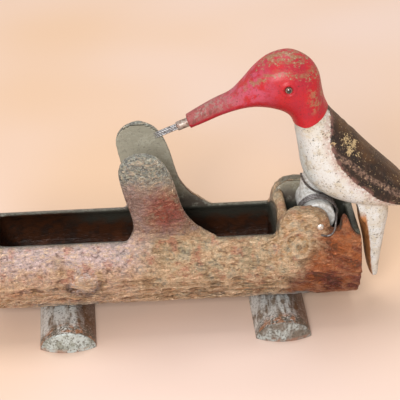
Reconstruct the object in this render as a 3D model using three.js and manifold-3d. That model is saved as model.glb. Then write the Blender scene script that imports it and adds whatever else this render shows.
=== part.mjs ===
// Woodpecker cigarette dispenser: a hollow cast log on two cross-log feet, with a
// sprung woodpecker that dips its needle-tipped beak between two branch stubs.
// Millimetres, Z up. X runs along the log towards the bird's hinge, Y across it.
import * as THREE from 'three';
import { mergeVertices } from 'three/addons/utils/BufferGeometryUtils.js';
import Module from 'manifold-3d';

const wasm = await Module();
wasm.setup();

// ---------------------------------------------------------------- driving sizes
const LOG_RADIUS = 26;
const LOG_LEFT = -96;                 // outer face of the plain end
const LOG_UNDERSIDE = 8;              // height of the log above the table
const RIM_LIP = 1.09;                 // straight lip above the round trough wall
const WALL = 3.5;
const FLOOR_THICKNESS = 7;
const TROUGH_HALF_WIDTH = 15.5;
const TROUGH_LEFT = -89.5;
const TROUGH_CORNER = 7;
const BULKHEAD_LEFT = 56.2;           // cross wall between trough and hinge well
const BULKHEAD_RIGHT = 62;
const BULKHEAD_RISE = 8.6;            // above the rim
const WELL_HALF_WIDTH = 14.5;
const END_WALL = 4.2;
const END_WALL_DROP = 1.9;            // below the rim

const STUB_RISE = 51.1;               // above the rim
const STUB_THICKNESS = 5.6;
const EAR_THICKNESS = 6;

const PIVOT_X = 77.3;
const PIVOT_RISE = 5.6;               // above the rim
const PIVOT_TO_END = 22.2;            // from the pin to the hinge end's outer face
const PIN_RADIUS = 1.75;
const PIN_HALF_LENGTH = 21.9;
const HUB_RADIUS = 9;
const COIL_CLEARANCE = 0.95;          // between the hub and the spring's wire
const WIRE_RADIUS = 0.55;
const COIL_FRONT = -9.2;
const COIL_BACK = -4.4;
const COIL_TURNS = 3;

const FOOT_CENTRES = { left: -55.3, right: 57.4 };
const FOOT_HALF_WIDTH = 14.7;
const FOOT_HEIGHT = 11.9;
const FOOT_HALF_LENGTH = 36.6;        // at the corners
const FOOT_END_BULGE = 4.4;
const SCREW_RADIUS = 1.9;
const SCREW_HEAD_RADIUS = 3.7;
const SCREW_BOTTOM = 3;

const NEEDLE_RADIUS = 0.45;
const NEEDLE_LENGTH = 16;
const NEEDLE_CIRCLE = 1.2;
const NEEDLE_COUNT = 4;
const NEEDLE_SLOPE = 22.5;            // degrees below level
const NEEDLE_SEAT = 3;                // depth held in the plug
const PLUG_RADIUS = 2.35;
const PLUG_LENGTH = 13;
const PLUG_SHOWING = 6.2;
const EYE_RADIUS = 2.1;

const FIT = 0.3;                      // gap between pieces that touch
const HUB_CLEARANCE = 0.4;            // each side of the hub between the ears
const CASTING_WALL = 2.6;             // bird casting

const AXIS_HEIGHT = LOG_UNDERSIDE + LOG_RADIUS;
const TROUGH_FLOOR = LOG_UNDERSIDE + FLOOR_THICKNESS;
const TROUGH_RADIUS = LOG_RADIUS - WALL;
const RIM_HEIGHT = AXIS_HEIGHT + Math.sqrt(TROUGH_RADIUS ** 2 - TROUGH_HALF_WIDTH ** 2) + RIM_LIP;
const STUB_TOP = RIM_HEIGHT + STUB_RISE;
const BULKHEAD_TOP = RIM_HEIGHT + BULKHEAD_RISE;
const END_WALL_TOP = RIM_HEIGHT - END_WALL_DROP;
const PIVOT_Z = RIM_HEIGHT + PIVOT_RISE;
const LOG_RIGHT = PIVOT_X + PIVOT_TO_END;
const WELL_RIGHT = LOG_RIGHT - END_WALL;
const COIL_RADIUS = HUB_RADIUS + COIL_CLEARANCE + WIRE_RADIUS;

// ---------------------------------------------------------------- solid helpers
function solid(geometry) {
  const plain = geometry.clone();
  plain.deleteAttribute('normal');
  plain.deleteAttribute('uv');
  const merged = mergeVertices(plain, 1e-4);
  const corners = merged.index.array;
  const position = merged.attributes.position;
  const kept = [];
  const a = new THREE.Vector3();
  const b = new THREE.Vector3();
  const c = new THREE.Vector3();
  let volume = 0;
  for (let i = 0; i < corners.length; i += 3) {
    const [p, q, r] = [corners[i], corners[i + 1], corners[i + 2]];
    if (p === q || q === r || r === p) continue;
    kept.push([p, q, r]);
    a.fromBufferAttribute(position, p);
    b.fromBufferAttribute(position, q);
    c.fromBufferAttribute(position, r);
    volume += a.dot(b.cross(c));
  }
  const facing = volume > 0 ? kept : kept.map(([p, q, r]) => [p, r, q]);
  const mesh = new wasm.Mesh({
    numProp: 3,
    vertProperties: new Float32Array(position.array),
    triVerts: new Uint32Array(facing.flat()),
  });
  mesh.merge();
  return new wasm.Manifold(mesh);
}

function node(name, body, colour, roughness, metalness) {
  const { vertProperties, triVerts } = body.getMesh();
  const geometry = new THREE.BufferGeometry();
  geometry.setAttribute('position', new THREE.BufferAttribute(Float32Array.from(vertProperties), 3));
  geometry.setIndex(new THREE.BufferAttribute(Uint32Array.from(triVerts), 1));
  geometry.computeVertexNormals();
  const material = new THREE.MeshStandardMaterial({ color: colour, roughness, metalness });
  const mesh = new THREE.Mesh(geometry, material);
  mesh.name = name;
  return mesh;
}

// Triangles that close one end of a loft, facing along or against its sections.
function capFaces(section, first, flip) {
  const size = new THREE.Box3().setFromPoints(section).getSize(new THREE.Vector3());
  const [u, v] = ['x', 'y', 'z'].sort((p, q) => size[q] - size[p]);
  const flat = section.map((point) => new THREE.Vector2(point[u], point[v]));
  const sense = Math.sign(THREE.ShapeUtils.area(flat)) * (flip ? -1 : 1);
  return THREE.ShapeUtils.triangulateShape(flat, []).flatMap(([a, b, c]) => {
    const facing = Math.sign(THREE.ShapeUtils.area([flat[a], flat[b], flat[c]]));
    return facing === sense ? [first + a, first + b, first + c] : [first + a, first + c, first + b];
  });
}

// Skin over a row of closed sections with the same number of points each.
function loft(sections) {
  const count = sections[0].length;
  const last = (sections.length - 1) * count;
  const faces = [...capFaces(sections[0], 0, true), ...capFaces(sections.at(-1), last, false)];
  for (let s = 0; s + 1 < sections.length; s += 1) {
    for (let i = 0; i < count; i += 1) {
      const [p, q] = [s * count + i, s * count + ((i + 1) % count)];
      faces.push(p, q, q + count, p, q + count, p + count);
    }
  }
  const geometry = new THREE.BufferGeometry().setFromPoints(sections.flat());
  geometry.setIndex(faces);
  return solid(geometry);
}

// Turned body from [radius, distance] pairs, starting at a point and running along a direction.
function turned(profile, start, direction, segments = 32) {
  const outline = profile.map(([radius, along]) => new THREE.Vector2(radius, along));
  const geometry = new THREE.LatheGeometry(outline, segments);
  const turn = new THREE.Quaternion().setFromUnitVectors(
    new THREE.Vector3(0, 1, 0),
    direction.clone().normalize(),
  );
  geometry.applyQuaternion(turn);
  geometry.translate(start.x, start.y, start.z);
  return solid(geometry);
}

function rod(radius, length, start, direction, segments = 32) {
  return turned([[0, 0], [radius, 0], [radius, length], [0, length]], start, direction, segments);
}

// Straight extrusion of a flat outline along X ([y, z] points), Y ([x, z]) or Z ([x, y]).
function extruded(outline, axis, from, to) {
  const pairs = axis === 'y' ? outline.map(([x, z]) => [z, x]) : outline;
  const flat = new THREE.Shape(pairs.map(([a, b]) => new THREE.Vector2(a, b)));
  const geometry = new THREE.ExtrudeGeometry(flat, { depth: to - from, bevelEnabled: false });
  geometry.translate(0, 0, from);
  const [x, y, z] = [
    new THREE.Vector3(1, 0, 0),
    new THREE.Vector3(0, 1, 0),
    new THREE.Vector3(0, 0, 1),
  ];
  const bases = { x: [y, z, x], y: [z, x, y], z: [x, y, z] };
  geometry.applyMatrix4(new THREE.Matrix4().makeBasis(...bases[axis]));
  return solid(geometry);
}

function block(x0, x1, y0, y1, z0, z1) {
  return extruded([[x0, y0], [x1, y0], [x1, y1], [x0, y1]], 'z', z0, z1);
}

function arc(cx, cy, radius, fromDegrees, toDegrees, steps) {
  const points = [];
  for (let i = 0; i <= steps; i += 1) {
    const angle = THREE.MathUtils.degToRad(fromDegrees + ((toDegrees - fromDegrees) * i) / steps);
    points.push([cx + radius * Math.cos(angle), cy + radius * Math.sin(angle)]);
  }
  return points;
}

// Catmull-Rom refinement of a table of numbers, `steps` rows for each original gap.
function refine(rows, steps) {
  const refined = [];
  for (let r = 0; r + 1 < rows.length; r += 1) {
    const [p0, p1, p2, p3] = [-1, 0, 1, 2].map(
      (shift) => rows[THREE.MathUtils.clamp(r + shift, 0, rows.length - 1)],
    );
    for (let s = 0; s < steps; s += 1) {
      const t = s / steps;
      refined.push(p1.map((_, k) => 0.5 * (2 * p1[k] + (p2[k] - p0[k]) * t
        + (2 * p0[k] - 5 * p1[k] + 4 * p2[k] - p3[k]) * t * t
        + (3 * p1[k] - p0[k] - 3 * p2[k] + p3[k]) * t * t * t)));
    }
  }
  refined.push(rows[rows.length - 1]);
  return refined;
}

function joined(...bodies) {
  return bodies.reduce((sum, body) => sum.add(body));
}

// ---------------------------------------------------------------- log casting
// Trough section: round below, straight sides above, flat floor.
function hollow(halfWidth, x0, x1) {
  const radius = TROUGH_RADIUS;
  const floorAngle = THREE.MathUtils.radToDeg(Math.asin((TROUGH_FLOOR - AXIS_HEIGHT) / radius));
  const sideAngle = THREE.MathUtils.radToDeg(Math.acos(halfWidth / radius));
  const outline = [
    ...arc(0, AXIS_HEIGHT, radius, floorAngle, sideAngle, 12),
    [halfWidth, STUB_TOP + 10],
    [-halfWidth, STUB_TOP + 10],
    ...arc(0, AXIS_HEIGHT, radius, 180 - sideAngle, 180 - floorAngle, 12),
  ];
  return extruded(outline, 'x', x0, x1);
}

// Upright branch stub; each row is [height above the rim, left, right] of its outline.
const STUB_OUTLINE = [
  [-13.4, -26, 32], [-5.4, -25.5, 30], [-1.4, -23.6, 26.5], [0.1, -22.6, 24.5], [2.1, -21, 21.6],
  [4.6, -19.9, 18], [8.6, -19.2, 12.9], [12.6, -19.4, 9.6], [17.6, -20.6, 6.8], [24.6, -22.7, 4.6],
  [31.6, -24.4, 2.8], [37.6, -25.6, 0.8], [41.6, -25.7, -0.9], [45.1, -24.7, -3.1], [48.1, -22.4, -5.8],
  [50.1, -19.2, -9.3], [STUB_RISE, -15.6, -13.2],
];

function stub(side) {
  const steps = 14;
  const shoulder = STUB_TOP - 13.5;
  const sections = STUB_OUTLINE.map(([rise, left, right]) => {
    const z = RIM_HEIGHT + rise;
    const centre = (left + right) / 2;
    const halfWidth = (right - left) / 2;
    const crown = Math.sqrt(Math.max(0, 1 - ((z - shoulder) / (STUB_TOP - shoulder + 2)) ** 2));
    const fullness = z > shoulder ? 0.45 + 0.55 * crown : 1;
    const base = Math.sqrt(LOG_RADIUS ** 2 - Math.min(z - AXIS_HEIGHT, RIM_HEIGHT - AXIS_HEIGHT) ** 2);
    const foot = z < RIM_HEIGHT ? base - 0.2 : TROUGH_HALF_WIDTH + STUB_THICKNESS - 1.1;
    const inner = TROUGH_HALF_WIDTH - 1.5;
    const points = [];
    for (let i = 0; i <= steps; i += 1) {
      const angle = (Math.PI * i) / steps;
      const bulge = Math.sin(angle) ** 0.6;
      const edge = z < RIM_HEIGHT ? foot - 1 : TROUGH_HALF_WIDTH + 1.2;
      const y = edge + (foot - edge) * bulge * fullness + (z < RIM_HEIGHT ? 0 : 1.1 * bulge * fullness);
      points.push(new THREE.Vector3(centre + halfWidth * Math.cos(angle), side * y, z));
    }
    points.push(new THREE.Vector3(left, side * inner, z));
    points.push(new THREE.Vector3(right, side * inner, z));
    return points;
  });
  return loft(sections);
}

// Hinge ear: [x, z] outline from the pin's centre, swelling outwards and rounded over outside.
const EAR_OUTLINE = [
  [-22.7, -17], [-22.1, -6], [-21.3, -0.5], [-19.7, 3.4], [-17.1, 6.4], [-13.3, 8.6], [-8.3, 9.2],
  [-3.3, 8.6], [1.1, 7], [3.9, 4.4], [5.3, 1], [5.6, -2], [6.3, -3.8], [8.7, -4.4], [10.7, -3.6],
  [11.3, -0.5], [12.3, 2.4], [13.7, 3], [15.3, 0.6], [16.9, -3.6], [18.3, -7], [19.7, -11], [19.7, -17],
];

function ear(side) {
  const steps = [[-1.5, 1], [EAR_THICKNESS - 2.4, 1], [EAR_THICKNESS - 0.9, 0.965], [EAR_THICKNESS, 0.9]];
  const [middle, root] = [-1.3, -7];
  const sections = steps.map(([offset, scale]) => EAR_OUTLINE.map(([x, z]) => {
    const y = side * (WELL_HALF_WIDTH + offset);
    const across = z > root ? middle + (x - middle) * scale ** 0.4 : x;
    const up = z > root ? root + (z - root) * scale : z;
    return new THREE.Vector3(PIVOT_X + across, y, PIVOT_Z + up);
  }));
  return loft(sections);
}

function buildLog() {
  const endRound = 1.6;
  const length = LOG_RIGHT - LOG_LEFT;
  const profile = [
    [0, 0], [LOG_RADIUS - endRound, 0], [LOG_RADIUS - 0.4, 0.5], [LOG_RADIUS, endRound],
    [LOG_RADIUS, length - endRound], [LOG_RADIUS - 0.4, length - 0.5],
    [LOG_RADIUS - endRound, length], [0, length],
  ];
  const along = new THREE.Vector3(1, 0, 0);
  const whole = turned(profile, new THREE.Vector3(LOG_LEFT, 0, AXIS_HEIGHT), along, 72);
  const above = block(LOG_LEFT - 1, WELL_RIGHT, -30, 30, RIM_HEIGHT, STUB_TOP);
  const aboveEnd = block(WELL_RIGHT - 1, LOG_RIGHT + 1, -30, 30, END_WALL_TOP, STUB_TOP);
  const bulkhead = extruded([
    [BULKHEAD_LEFT - 1.4, BULKHEAD_TOP - 16], [BULKHEAD_LEFT - 1.2, BULKHEAD_TOP - 8],
    [BULKHEAD_LEFT, BULKHEAD_TOP - 3.4],
    [BULKHEAD_LEFT + 1.6, BULKHEAD_TOP - 0.8], [BULKHEAD_LEFT + 3.2, BULKHEAD_TOP],
    [BULKHEAD_RIGHT - 1.6, BULKHEAD_TOP], [BULKHEAD_RIGHT, BULKHEAD_TOP - 1.8],
    [BULKHEAD_RIGHT, BULKHEAD_TOP - 16],
  ], 'y', -TROUGH_HALF_WIDTH, TROUGH_HALF_WIDTH);
  const plan = [
    ...arc(TROUGH_LEFT + TROUGH_CORNER, TROUGH_HALF_WIDTH - TROUGH_CORNER, TROUGH_CORNER, 180, 90, 6),
    ...arc(BULKHEAD_RIGHT, LOG_RADIUS, 1, 90, 0, 2),
    ...arc(BULKHEAD_RIGHT, -LOG_RADIUS, 1, 0, -90, 2),
    ...arc(TROUGH_LEFT + TROUGH_CORNER, TROUGH_CORNER - TROUGH_HALF_WIDTH, TROUGH_CORNER, -90, -180, 6),
  ].map(([x, y]) => [x, y * (LOG_RADIUS / TROUGH_HALF_WIDTH)]);
  const planned = extruded(plan, 'z', 0, STUB_TOP + 20);
  const troughHollow = hollow(TROUGH_HALF_WIDTH, TROUGH_LEFT, BULKHEAD_LEFT - 0.6).intersect(planned);
  const wellHollow = hollow(WELL_HALF_WIDTH, BULKHEAD_RIGHT, WELL_RIGHT);
  const across = new THREE.Vector3(0, 1, 0);
  const bore = rod(PIN_RADIUS + FIT, 60, new THREE.Vector3(PIVOT_X, -30, PIVOT_Z), across, 24);
  let casting = joined(
    whole.subtract(above).subtract(aboveEnd),
    stub(1), stub(-1), ear(1), ear(-1),
  );
  casting = casting.subtract(troughHollow).add(bulkhead).subtract(wellHollow).subtract(bore);
  for (const x of Object.values(FOOT_CENTRES)) {
    casting = casting.subtract(screwShape(x, FIT, TROUGH_FLOOR + 0.5));
  }
  return casting;
}

// ---------------------------------------------------------------- feet and screws
function screwShape(x, gap, top) {
  const headDepth = 2;
  return turned([
    [0, SCREW_BOTTOM - gap], [SCREW_RADIUS + gap, SCREW_BOTTOM - gap],
    [SCREW_RADIUS + gap, TROUGH_FLOOR - headDepth - 0.2 - gap / 2],
    [SCREW_HEAD_RADIUS + gap, TROUGH_FLOOR - 0.2 - gap / 2],
    [SCREW_HEAD_RADIUS + gap, top], [0, top],
  ], new THREE.Vector3(x, 0, 0), new THREE.Vector3(0, 0, 1), 20);
}

function buildScrew(x) {
  const slot = block(x - 0.5, x + 0.5, -6, 6, TROUGH_FLOOR - 1.1, TROUGH_FLOOR + 2);
  return screwShape(x, 0, TROUGH_FLOOR).subtract(slot);
}

function buildFoot(x) {
  const radius = (FOOT_HALF_WIDTH ** 2 + FOOT_HEIGHT ** 2) / (2 * FOOT_HEIGHT);
  const sink = radius - FOOT_HEIGHT;
  const angle = THREE.MathUtils.radToDeg(Math.asin(sink / radius));
  const bar = extruded(arc(x, -sink, radius, angle, 180 - angle, 24), 'y', -60, 60);
  const endRadius = (FOOT_HALF_WIDTH ** 2 + FOOT_END_BULGE ** 2) / (2 * FOOT_END_BULGE);
  const spread = THREE.MathUtils.radToDeg(Math.asin(FOOT_HALF_WIDTH / endRadius));
  const reach = FOOT_HALF_LENGTH + FOOT_END_BULGE - endRadius;
  const plan = [
    ...arc(x, reach, endRadius, 90 - spread, 90 + spread, 12),
    ...arc(x, -reach, endRadius, 270 - spread, 270 + spread, 12),
  ];
  const saddle = rod(
    LOG_RADIUS + FIT, 60, new THREE.Vector3(x - 30, 0, AXIS_HEIGHT), new THREE.Vector3(1, 0, 0), 72,
  );
  const trimmed = bar.intersect(extruded(plan, 'z', -1, 40)).subtract(saddle);
  return trimmed.subtract(screwShape(x, FIT, TROUGH_FLOOR + 1));
}

// ---------------------------------------------------------------- hinge pin and spring
function buildPin() {
  const dome = 0.9;
  const length = 2 * PIN_HALF_LENGTH;
  return turned([
    [0, 0], [PIN_RADIUS * 0.55, 0.12], [PIN_RADIUS * 0.87, 0.45], [PIN_RADIUS, dome],
    [PIN_RADIUS, length - dome], [PIN_RADIUS * 0.87, length - 0.45],
    [PIN_RADIUS * 0.55, length - 0.12], [0, length],
  ], new THREE.Vector3(PIVOT_X, -PIN_HALF_LENGTH, PIVOT_Z), new THREE.Vector3(0, 1, 0), 24);
}

function springPath() {
  const coilRight = PIVOT_X + COIL_RADIUS;
  const points = [
    [-10.1, -22, -4.3], [-7.1, -22.1, -4.9], [-4.4, -22, -3.8],
    [-3, -21.6, -0.8], [-2.5, -20.6, 2.4], [-1.7, -17, 4.6], [-0.7, -13, 4.6],
  ].map(([x, y, z]) => new THREE.Vector3(coilRight + x, y, PIVOT_Z + z));
  const start = 23;
  const finish = 64;
  const steps = COIL_TURNS * 18 + 3;
  for (let i = 0; i <= steps; i += 1) {
    const angle = THREE.MathUtils.degToRad(start + ((finish - start + 360 * COIL_TURNS) * i) / steps);
    const y = THREE.MathUtils.lerp(COIL_FRONT, COIL_BACK, i / steps);
    points.push(new THREE.Vector3(
      PIVOT_X + COIL_RADIUS * Math.cos(angle), y, PIVOT_Z + COIL_RADIUS * Math.sin(angle),
    ));
  }
  const armLeft = PIVOT_X - COIL_RADIUS;
  const armFoot = PIVOT_Z + COIL_RADIUS;
  for (const [x, z] of [[11.4, 0.6], [7.9, 2.7], [4.9, 5.8], [2.9, 9.3], [2, 12.5]]) {
    points.push(new THREE.Vector3(armLeft + x, COIL_BACK, armFoot + z));
  }
  return new THREE.CatmullRomCurve3(points, false, 'centripetal');
}

function buildSpring() {
  const section = new THREE.Shape();
  section.absarc(0, 0, WIRE_RADIUS, 0, 2 * Math.PI);
  const options = { steps: 190, curveSegments: 4, bevelEnabled: false, extrudePath: springPath() };
  return solid(new THREE.ExtrudeGeometry(section, options));
}

// ---------------------------------------------------------------- bird casting
// Each row: centre x and z from the pin, tilt of the section in degrees, half height, half width.
const BIRD_SECTIONS = [
  [-66.3, 54, -20.3, 3.9, 3.4], [-58.5, 58, -17.6, 4.6, 4], [-51.1, 61.8, -15.2, 4.9, 4.8],
  [-43.9, 64.8, -9.4, 5.3, 6.2], [-37.7, 68.6, -7.5, 7.4, 8.5], [-31.3, 72.6, -4.5, 10.9, 11.1],
  [-24.1, 74.8, -2.8, 14.3, 12.9], [-16.5, 74.8, 5, 16.5, 13.7], [-10.6, 71.8, 15.6, 16.3, 13.6],
  [-7, 67.1, 24.8, 15, 13.1], [-5.3, 60.7, 33.6, 12.5, 12.2], [-4.1, 54.9, 40.6, 11.5, 11.8],
  [-2, 49.5, 45.5, 12.1, 12.2], [1.9, 42.5, 54.1, 14.1, 13.6], [6.9, 34, 64.3, 16.9, 15.2],
  [12.1, 26.4, 67.9, 19, 16.2], [18.5, 19.4, 68.2, 19.4, 16.6], [25.5, 14, 68.3, 18.3, 16.4],
  [31.7, 10.4, 69.1, 16.4, 15.4], [38.7, 7.6, 66, 12.6, 13.2], [45.7, 5.3, 62, 8.6, 10.6],
  [52.2, 2.9, 58, 4.8, 7.6], [56.2, 1.2, 56, 1.6, 3.6],
];

// Tail, rows from the top down: height, inner x and outer x from the pin, half width.
const TAIL_SECTIONS = [
  [9, 19.7, 36.7, 11.5], [3, 21.3, 38.5, 11.2], [-3, 22.6, 39.1, 10.8], [-7.6, 22.6, 38.6, 10.3],
  [-11, 24.5, 38, 9.9], [-16, 26.9, 37.5, 9.4], [-22, 28.7, 36.9, 8.8], [-29, 29.9, 36, 8],
  [-36, 30.9, 35.3, 6.8], [-40.5, 31.9, 35.1, 5.2], [-42.1, 32.7, 34.9, 3.6],
];

function birdSkin(rows, count, inset) {
  return loft(rows.map(([x, z, tilt, high, wide]) => {
    const angle = THREE.MathUtils.degToRad(tilt);
    const up = new THREE.Vector3(Math.sin(angle), 0, Math.cos(angle));
    const points = [];
    for (let i = 0; i < count; i += 1) {
      const turn = (2 * Math.PI * i) / count;
      points.push(new THREE.Vector3(PIVOT_X + x, 0, PIVOT_Z + z)
        .addScaledVector(up, (high - inset) * Math.cos(turn))
        .add(new THREE.Vector3(0, (wide - inset) * Math.sin(turn), 0)));
    }
    return points;
  }));
}

// Half-round blade, flat on its inner side.
function tailSkin() {
  return loft(TAIL_SECTIONS.map(([rise, near, far, wide]) => {
    const [z, inner, outer] = [PIVOT_Z + rise, PIVOT_X + near, PIVOT_X + far];
    const points = [new THREE.Vector3(inner, -wide, z)];
    for (let i = 0; i <= 10; i += 1) {
      const angle = -Math.PI / 2 + (Math.PI * i) / 10;
      const x = inner + (outer - inner) * (0.35 + 0.65 * Math.cos(angle) ** 0.8);
      points.push(new THREE.Vector3(x, wide * Math.sin(angle) * 0.999, z));
    }
    points.push(new THREE.Vector3(inner, wide, z));
    return points;
  }));
}

// Shallow groove down the flat inner side of the tail.
function tailGroove() {
  const rows = TAIL_SECTIONS.filter(([rise]) => rise < -7 && rise > -41);
  return loft(rows.map(([rise, near, far, wide]) => {
    const [start, floor] = [PIVOT_X + near - 6, PIVOT_X + near + (far - near) * 0.42];
    const half = wide - 2;
    return [[start, -half], [floor, 0.8 - half], [floor, half - 0.8], [start, half]].map(
      ([x, y]) => new THREE.Vector3(x, y, PIVOT_Z + rise),
    );
  }));
}

const beakEnd = new THREE.Vector3(PIVOT_X - 66.3, 0, PIVOT_Z + 53.6);
const slope = THREE.MathUtils.degToRad(NEEDLE_SLOPE);
const peck = new THREE.Vector3(-Math.cos(slope), 0, -Math.sin(slope));
const plugTip = beakEnd.clone().addScaledVector(peck, PLUG_SHOWING);

function needleStart(index) {
  const angle = (2 * Math.PI * (index + 0.5)) / NEEDLE_COUNT;
  const lift = new THREE.Vector3(-Math.sin(slope), 0, Math.cos(slope));
  return plugTip.clone()
    .addScaledVector(peck, -NEEDLE_SEAT)
    .addScaledVector(lift, NEEDLE_CIRCLE * Math.cos(angle))
    .add(new THREE.Vector3(0, NEEDLE_CIRCLE * Math.sin(angle), 0));
}

function buildNeedle(index) {
  const point = 3.2;
  return turned([
    [0, 0], [NEEDLE_RADIUS, 0], [NEEDLE_RADIUS, NEEDLE_LENGTH - point],
    [NEEDLE_RADIUS * 0.25, NEEDLE_LENGTH], [0, NEEDLE_LENGTH],
  ], needleStart(index), peck, 10);
}

function buildPlug() {
  const start = plugTip.clone().addScaledVector(peck, -PLUG_LENGTH);
  let plug = turned([
    [0, 0], [PLUG_RADIUS, 0], [PLUG_RADIUS, PLUG_LENGTH - 0.4],
    [PLUG_RADIUS - 0.3, PLUG_LENGTH], [0, PLUG_LENGTH],
  ], start, peck, 24);
  for (let i = 0; i < NEEDLE_COUNT; i += 1) {
    const seat = needleStart(i).addScaledVector(peck, -FIT);
    plug = plug.subtract(rod(NEEDLE_RADIUS + FIT * 0.8, NEEDLE_SEAT + 2, seat, peck, 10));
  }
  return plug;
}

const eyeSeat = new THREE.Vector3(PIVOT_X - 16.8, 12.9, PIVOT_Z + 75.6);

function eyeShape(side, gap) {
  const out = new THREE.Vector3(0, side, 0);
  const start = new THREE.Vector3(eyeSeat.x, side * (eyeSeat.y - 1.9 - gap), eyeSeat.z);
  const radius = EYE_RADIUS + gap;
  return turned([
    [0, 0], [radius * 0.8, 0], [radius, 0.5], [radius, 1.9 + gap], [radius * 0.88, 2.7 + gap],
    [radius * 0.6, 3.3 + gap], [0, 3.7 + gap],
  ], start, out, 20);
}

function buildBird() {
  const outer = birdSkin(refine(BIRD_SECTIONS, 2), 30, 0);
  const inner = birdSkin(refine(BIRD_SECTIONS.slice(6, 19), 1), 18, CASTING_WALL);
  const tail = tailSkin();
  const across = new THREE.Vector3(0, 1, 0);
  const hubHalf = WELL_HALF_WIDTH - HUB_CLEARANCE;
  const hub = rod(HUB_RADIUS, 2 * hubHalf, new THREE.Vector3(PIVOT_X, -hubHalf, PIVOT_Z), across, 40);
  const leg = extruded([
    [PIVOT_X - 7.4, PIVOT_Z], [PIVOT_X - 8, PIVOT_Z + 8], [PIVOT_X - 7.7, PIVOT_Z + 15],
    [PIVOT_X - 5.4, PIVOT_Z + 21], [PIVOT_X - 2, PIVOT_Z + 25], [PIVOT_X + 4, PIVOT_Z + 26],
    [PIVOT_X + 12, PIVOT_Z + 14], [PIVOT_X + 8.4, PIVOT_Z + 6], [PIVOT_X + 8, PIVOT_Z],
  ], 'y', -1.4, 7.5);
  const bore = rod(PIN_RADIUS + FIT, 60, new THREE.Vector3(PIVOT_X, -30, PIVOT_Z), across, 24);
  const plugStart = plugTip.clone().addScaledVector(peck, -PLUG_LENGTH - FIT);
  const plugBore = rod(PLUG_RADIUS + FIT, 30, plugStart, peck, 24);
  let casting = joined(outer, tail, leg);
  const coilRoom = rod(
    COIL_RADIUS + WIRE_RADIUS + 0.6, COIL_BACK - COIL_FRONT + 2.4,
    new THREE.Vector3(PIVOT_X, COIL_FRONT - 1.2, PIVOT_Z), across, 40,
  );
  casting = casting.subtract(inner).subtract(tailGroove()).subtract(coilRoom);
  casting = joined(casting, hub);
  casting = casting.subtract(bore).subtract(plugBore);
  return casting.subtract(eyeShape(1, FIT)).subtract(eyeShape(-1, FIT));
}

// ---------------------------------------------------------------- assembly
const group = new THREE.Group();
group.name = 'woodpecker_cigarette_dispenser';
group.add(node('log_casting', buildLog(), 0x8a6a50, 0.55, 0.6));
for (const [side, x] of Object.entries(FOOT_CENTRES)) {
  group.add(node(`${side}_cross_foot`, buildFoot(x), 0x76786f, 0.5, 0.7));
  group.add(node(`${side}_foot_screw`, buildScrew(x), 0x9a968c, 0.4, 0.9));
}
group.add(node('pivot_pin', buildPin(), 0xc9c9c4, 0.25, 1));
group.add(node('torsion_spring', buildSpring(), 0x8d9094, 0.35, 1));
group.add(node('bird_casting', buildBird(), 0xb8322f, 0.45, 0.1));
group.add(node('needle_plug', buildPlug(), 0x8f8a80, 0.4, 0.9));
for (let i = 0; i < NEEDLE_COUNT; i += 1) {
  group.add(node(`beak_needle_${i + 1}`, buildNeedle(i), 0xb4b2ac, 0.3, 1));
}
group.add(node('left_eye', eyeShape(1, 0), 0x1d1a18, 0.2, 0));
group.add(node('right_eye', eyeShape(-1, 0), 0x1d1a18, 0.2, 0));

// Origin at the centre of the underside.
const bounds = new THREE.Box3().setFromObject(group);
const middle = bounds.getCenter(new THREE.Vector3());
for (const mesh of group.children) {
  mesh.geometry.translate(-middle.x, -middle.y, -bounds.min.z);
}

export default group;
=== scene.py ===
"""Woodpecker cigarette dispenser: the looks of every piece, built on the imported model.

Shapes are worked out in millimetres, X along the log towards the hinge, Y away from the
front, Z up from the table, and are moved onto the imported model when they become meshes.
"""

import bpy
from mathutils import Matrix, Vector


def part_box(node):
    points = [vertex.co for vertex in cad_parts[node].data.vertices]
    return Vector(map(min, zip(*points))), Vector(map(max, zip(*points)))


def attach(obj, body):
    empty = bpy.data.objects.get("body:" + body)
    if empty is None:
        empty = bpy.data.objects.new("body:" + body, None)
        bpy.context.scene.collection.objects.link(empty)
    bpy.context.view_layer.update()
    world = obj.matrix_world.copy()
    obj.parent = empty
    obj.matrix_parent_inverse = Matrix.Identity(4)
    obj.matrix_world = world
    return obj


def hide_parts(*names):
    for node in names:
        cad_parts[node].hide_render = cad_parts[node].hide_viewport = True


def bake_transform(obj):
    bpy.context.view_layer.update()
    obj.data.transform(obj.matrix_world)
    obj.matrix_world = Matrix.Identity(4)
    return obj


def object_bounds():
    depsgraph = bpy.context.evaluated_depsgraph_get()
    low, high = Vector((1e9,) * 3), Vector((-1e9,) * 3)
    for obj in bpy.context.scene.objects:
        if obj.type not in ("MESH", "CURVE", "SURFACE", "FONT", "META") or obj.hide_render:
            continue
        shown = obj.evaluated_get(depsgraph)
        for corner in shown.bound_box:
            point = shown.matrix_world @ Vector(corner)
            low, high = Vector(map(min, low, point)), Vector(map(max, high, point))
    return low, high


bl_info = {
    "name": "Woodpecker Cigarette Dispenser",
    "version": (1, 0, 0),
    "blender": (4, 5, 0),
    "location": "3D View > Sidebar > Woodpecker",
    "description": "Builds the cast log, the bird and their fittings on the packed model",
    "category": "Object",
}

import math

import bpy
import numpy as np
from bpy.props import FloatProperty, FloatVectorProperty, PointerProperty
from mathutils import Matrix, Vector

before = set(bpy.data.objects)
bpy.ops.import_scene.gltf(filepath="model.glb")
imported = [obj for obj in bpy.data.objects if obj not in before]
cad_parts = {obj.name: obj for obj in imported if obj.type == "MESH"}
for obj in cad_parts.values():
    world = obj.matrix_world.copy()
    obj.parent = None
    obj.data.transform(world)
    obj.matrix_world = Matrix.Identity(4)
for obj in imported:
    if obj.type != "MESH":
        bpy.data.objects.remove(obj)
CAD_BOX = [list(corner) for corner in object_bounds()]
PIN_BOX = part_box("pivot_pin")

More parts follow.
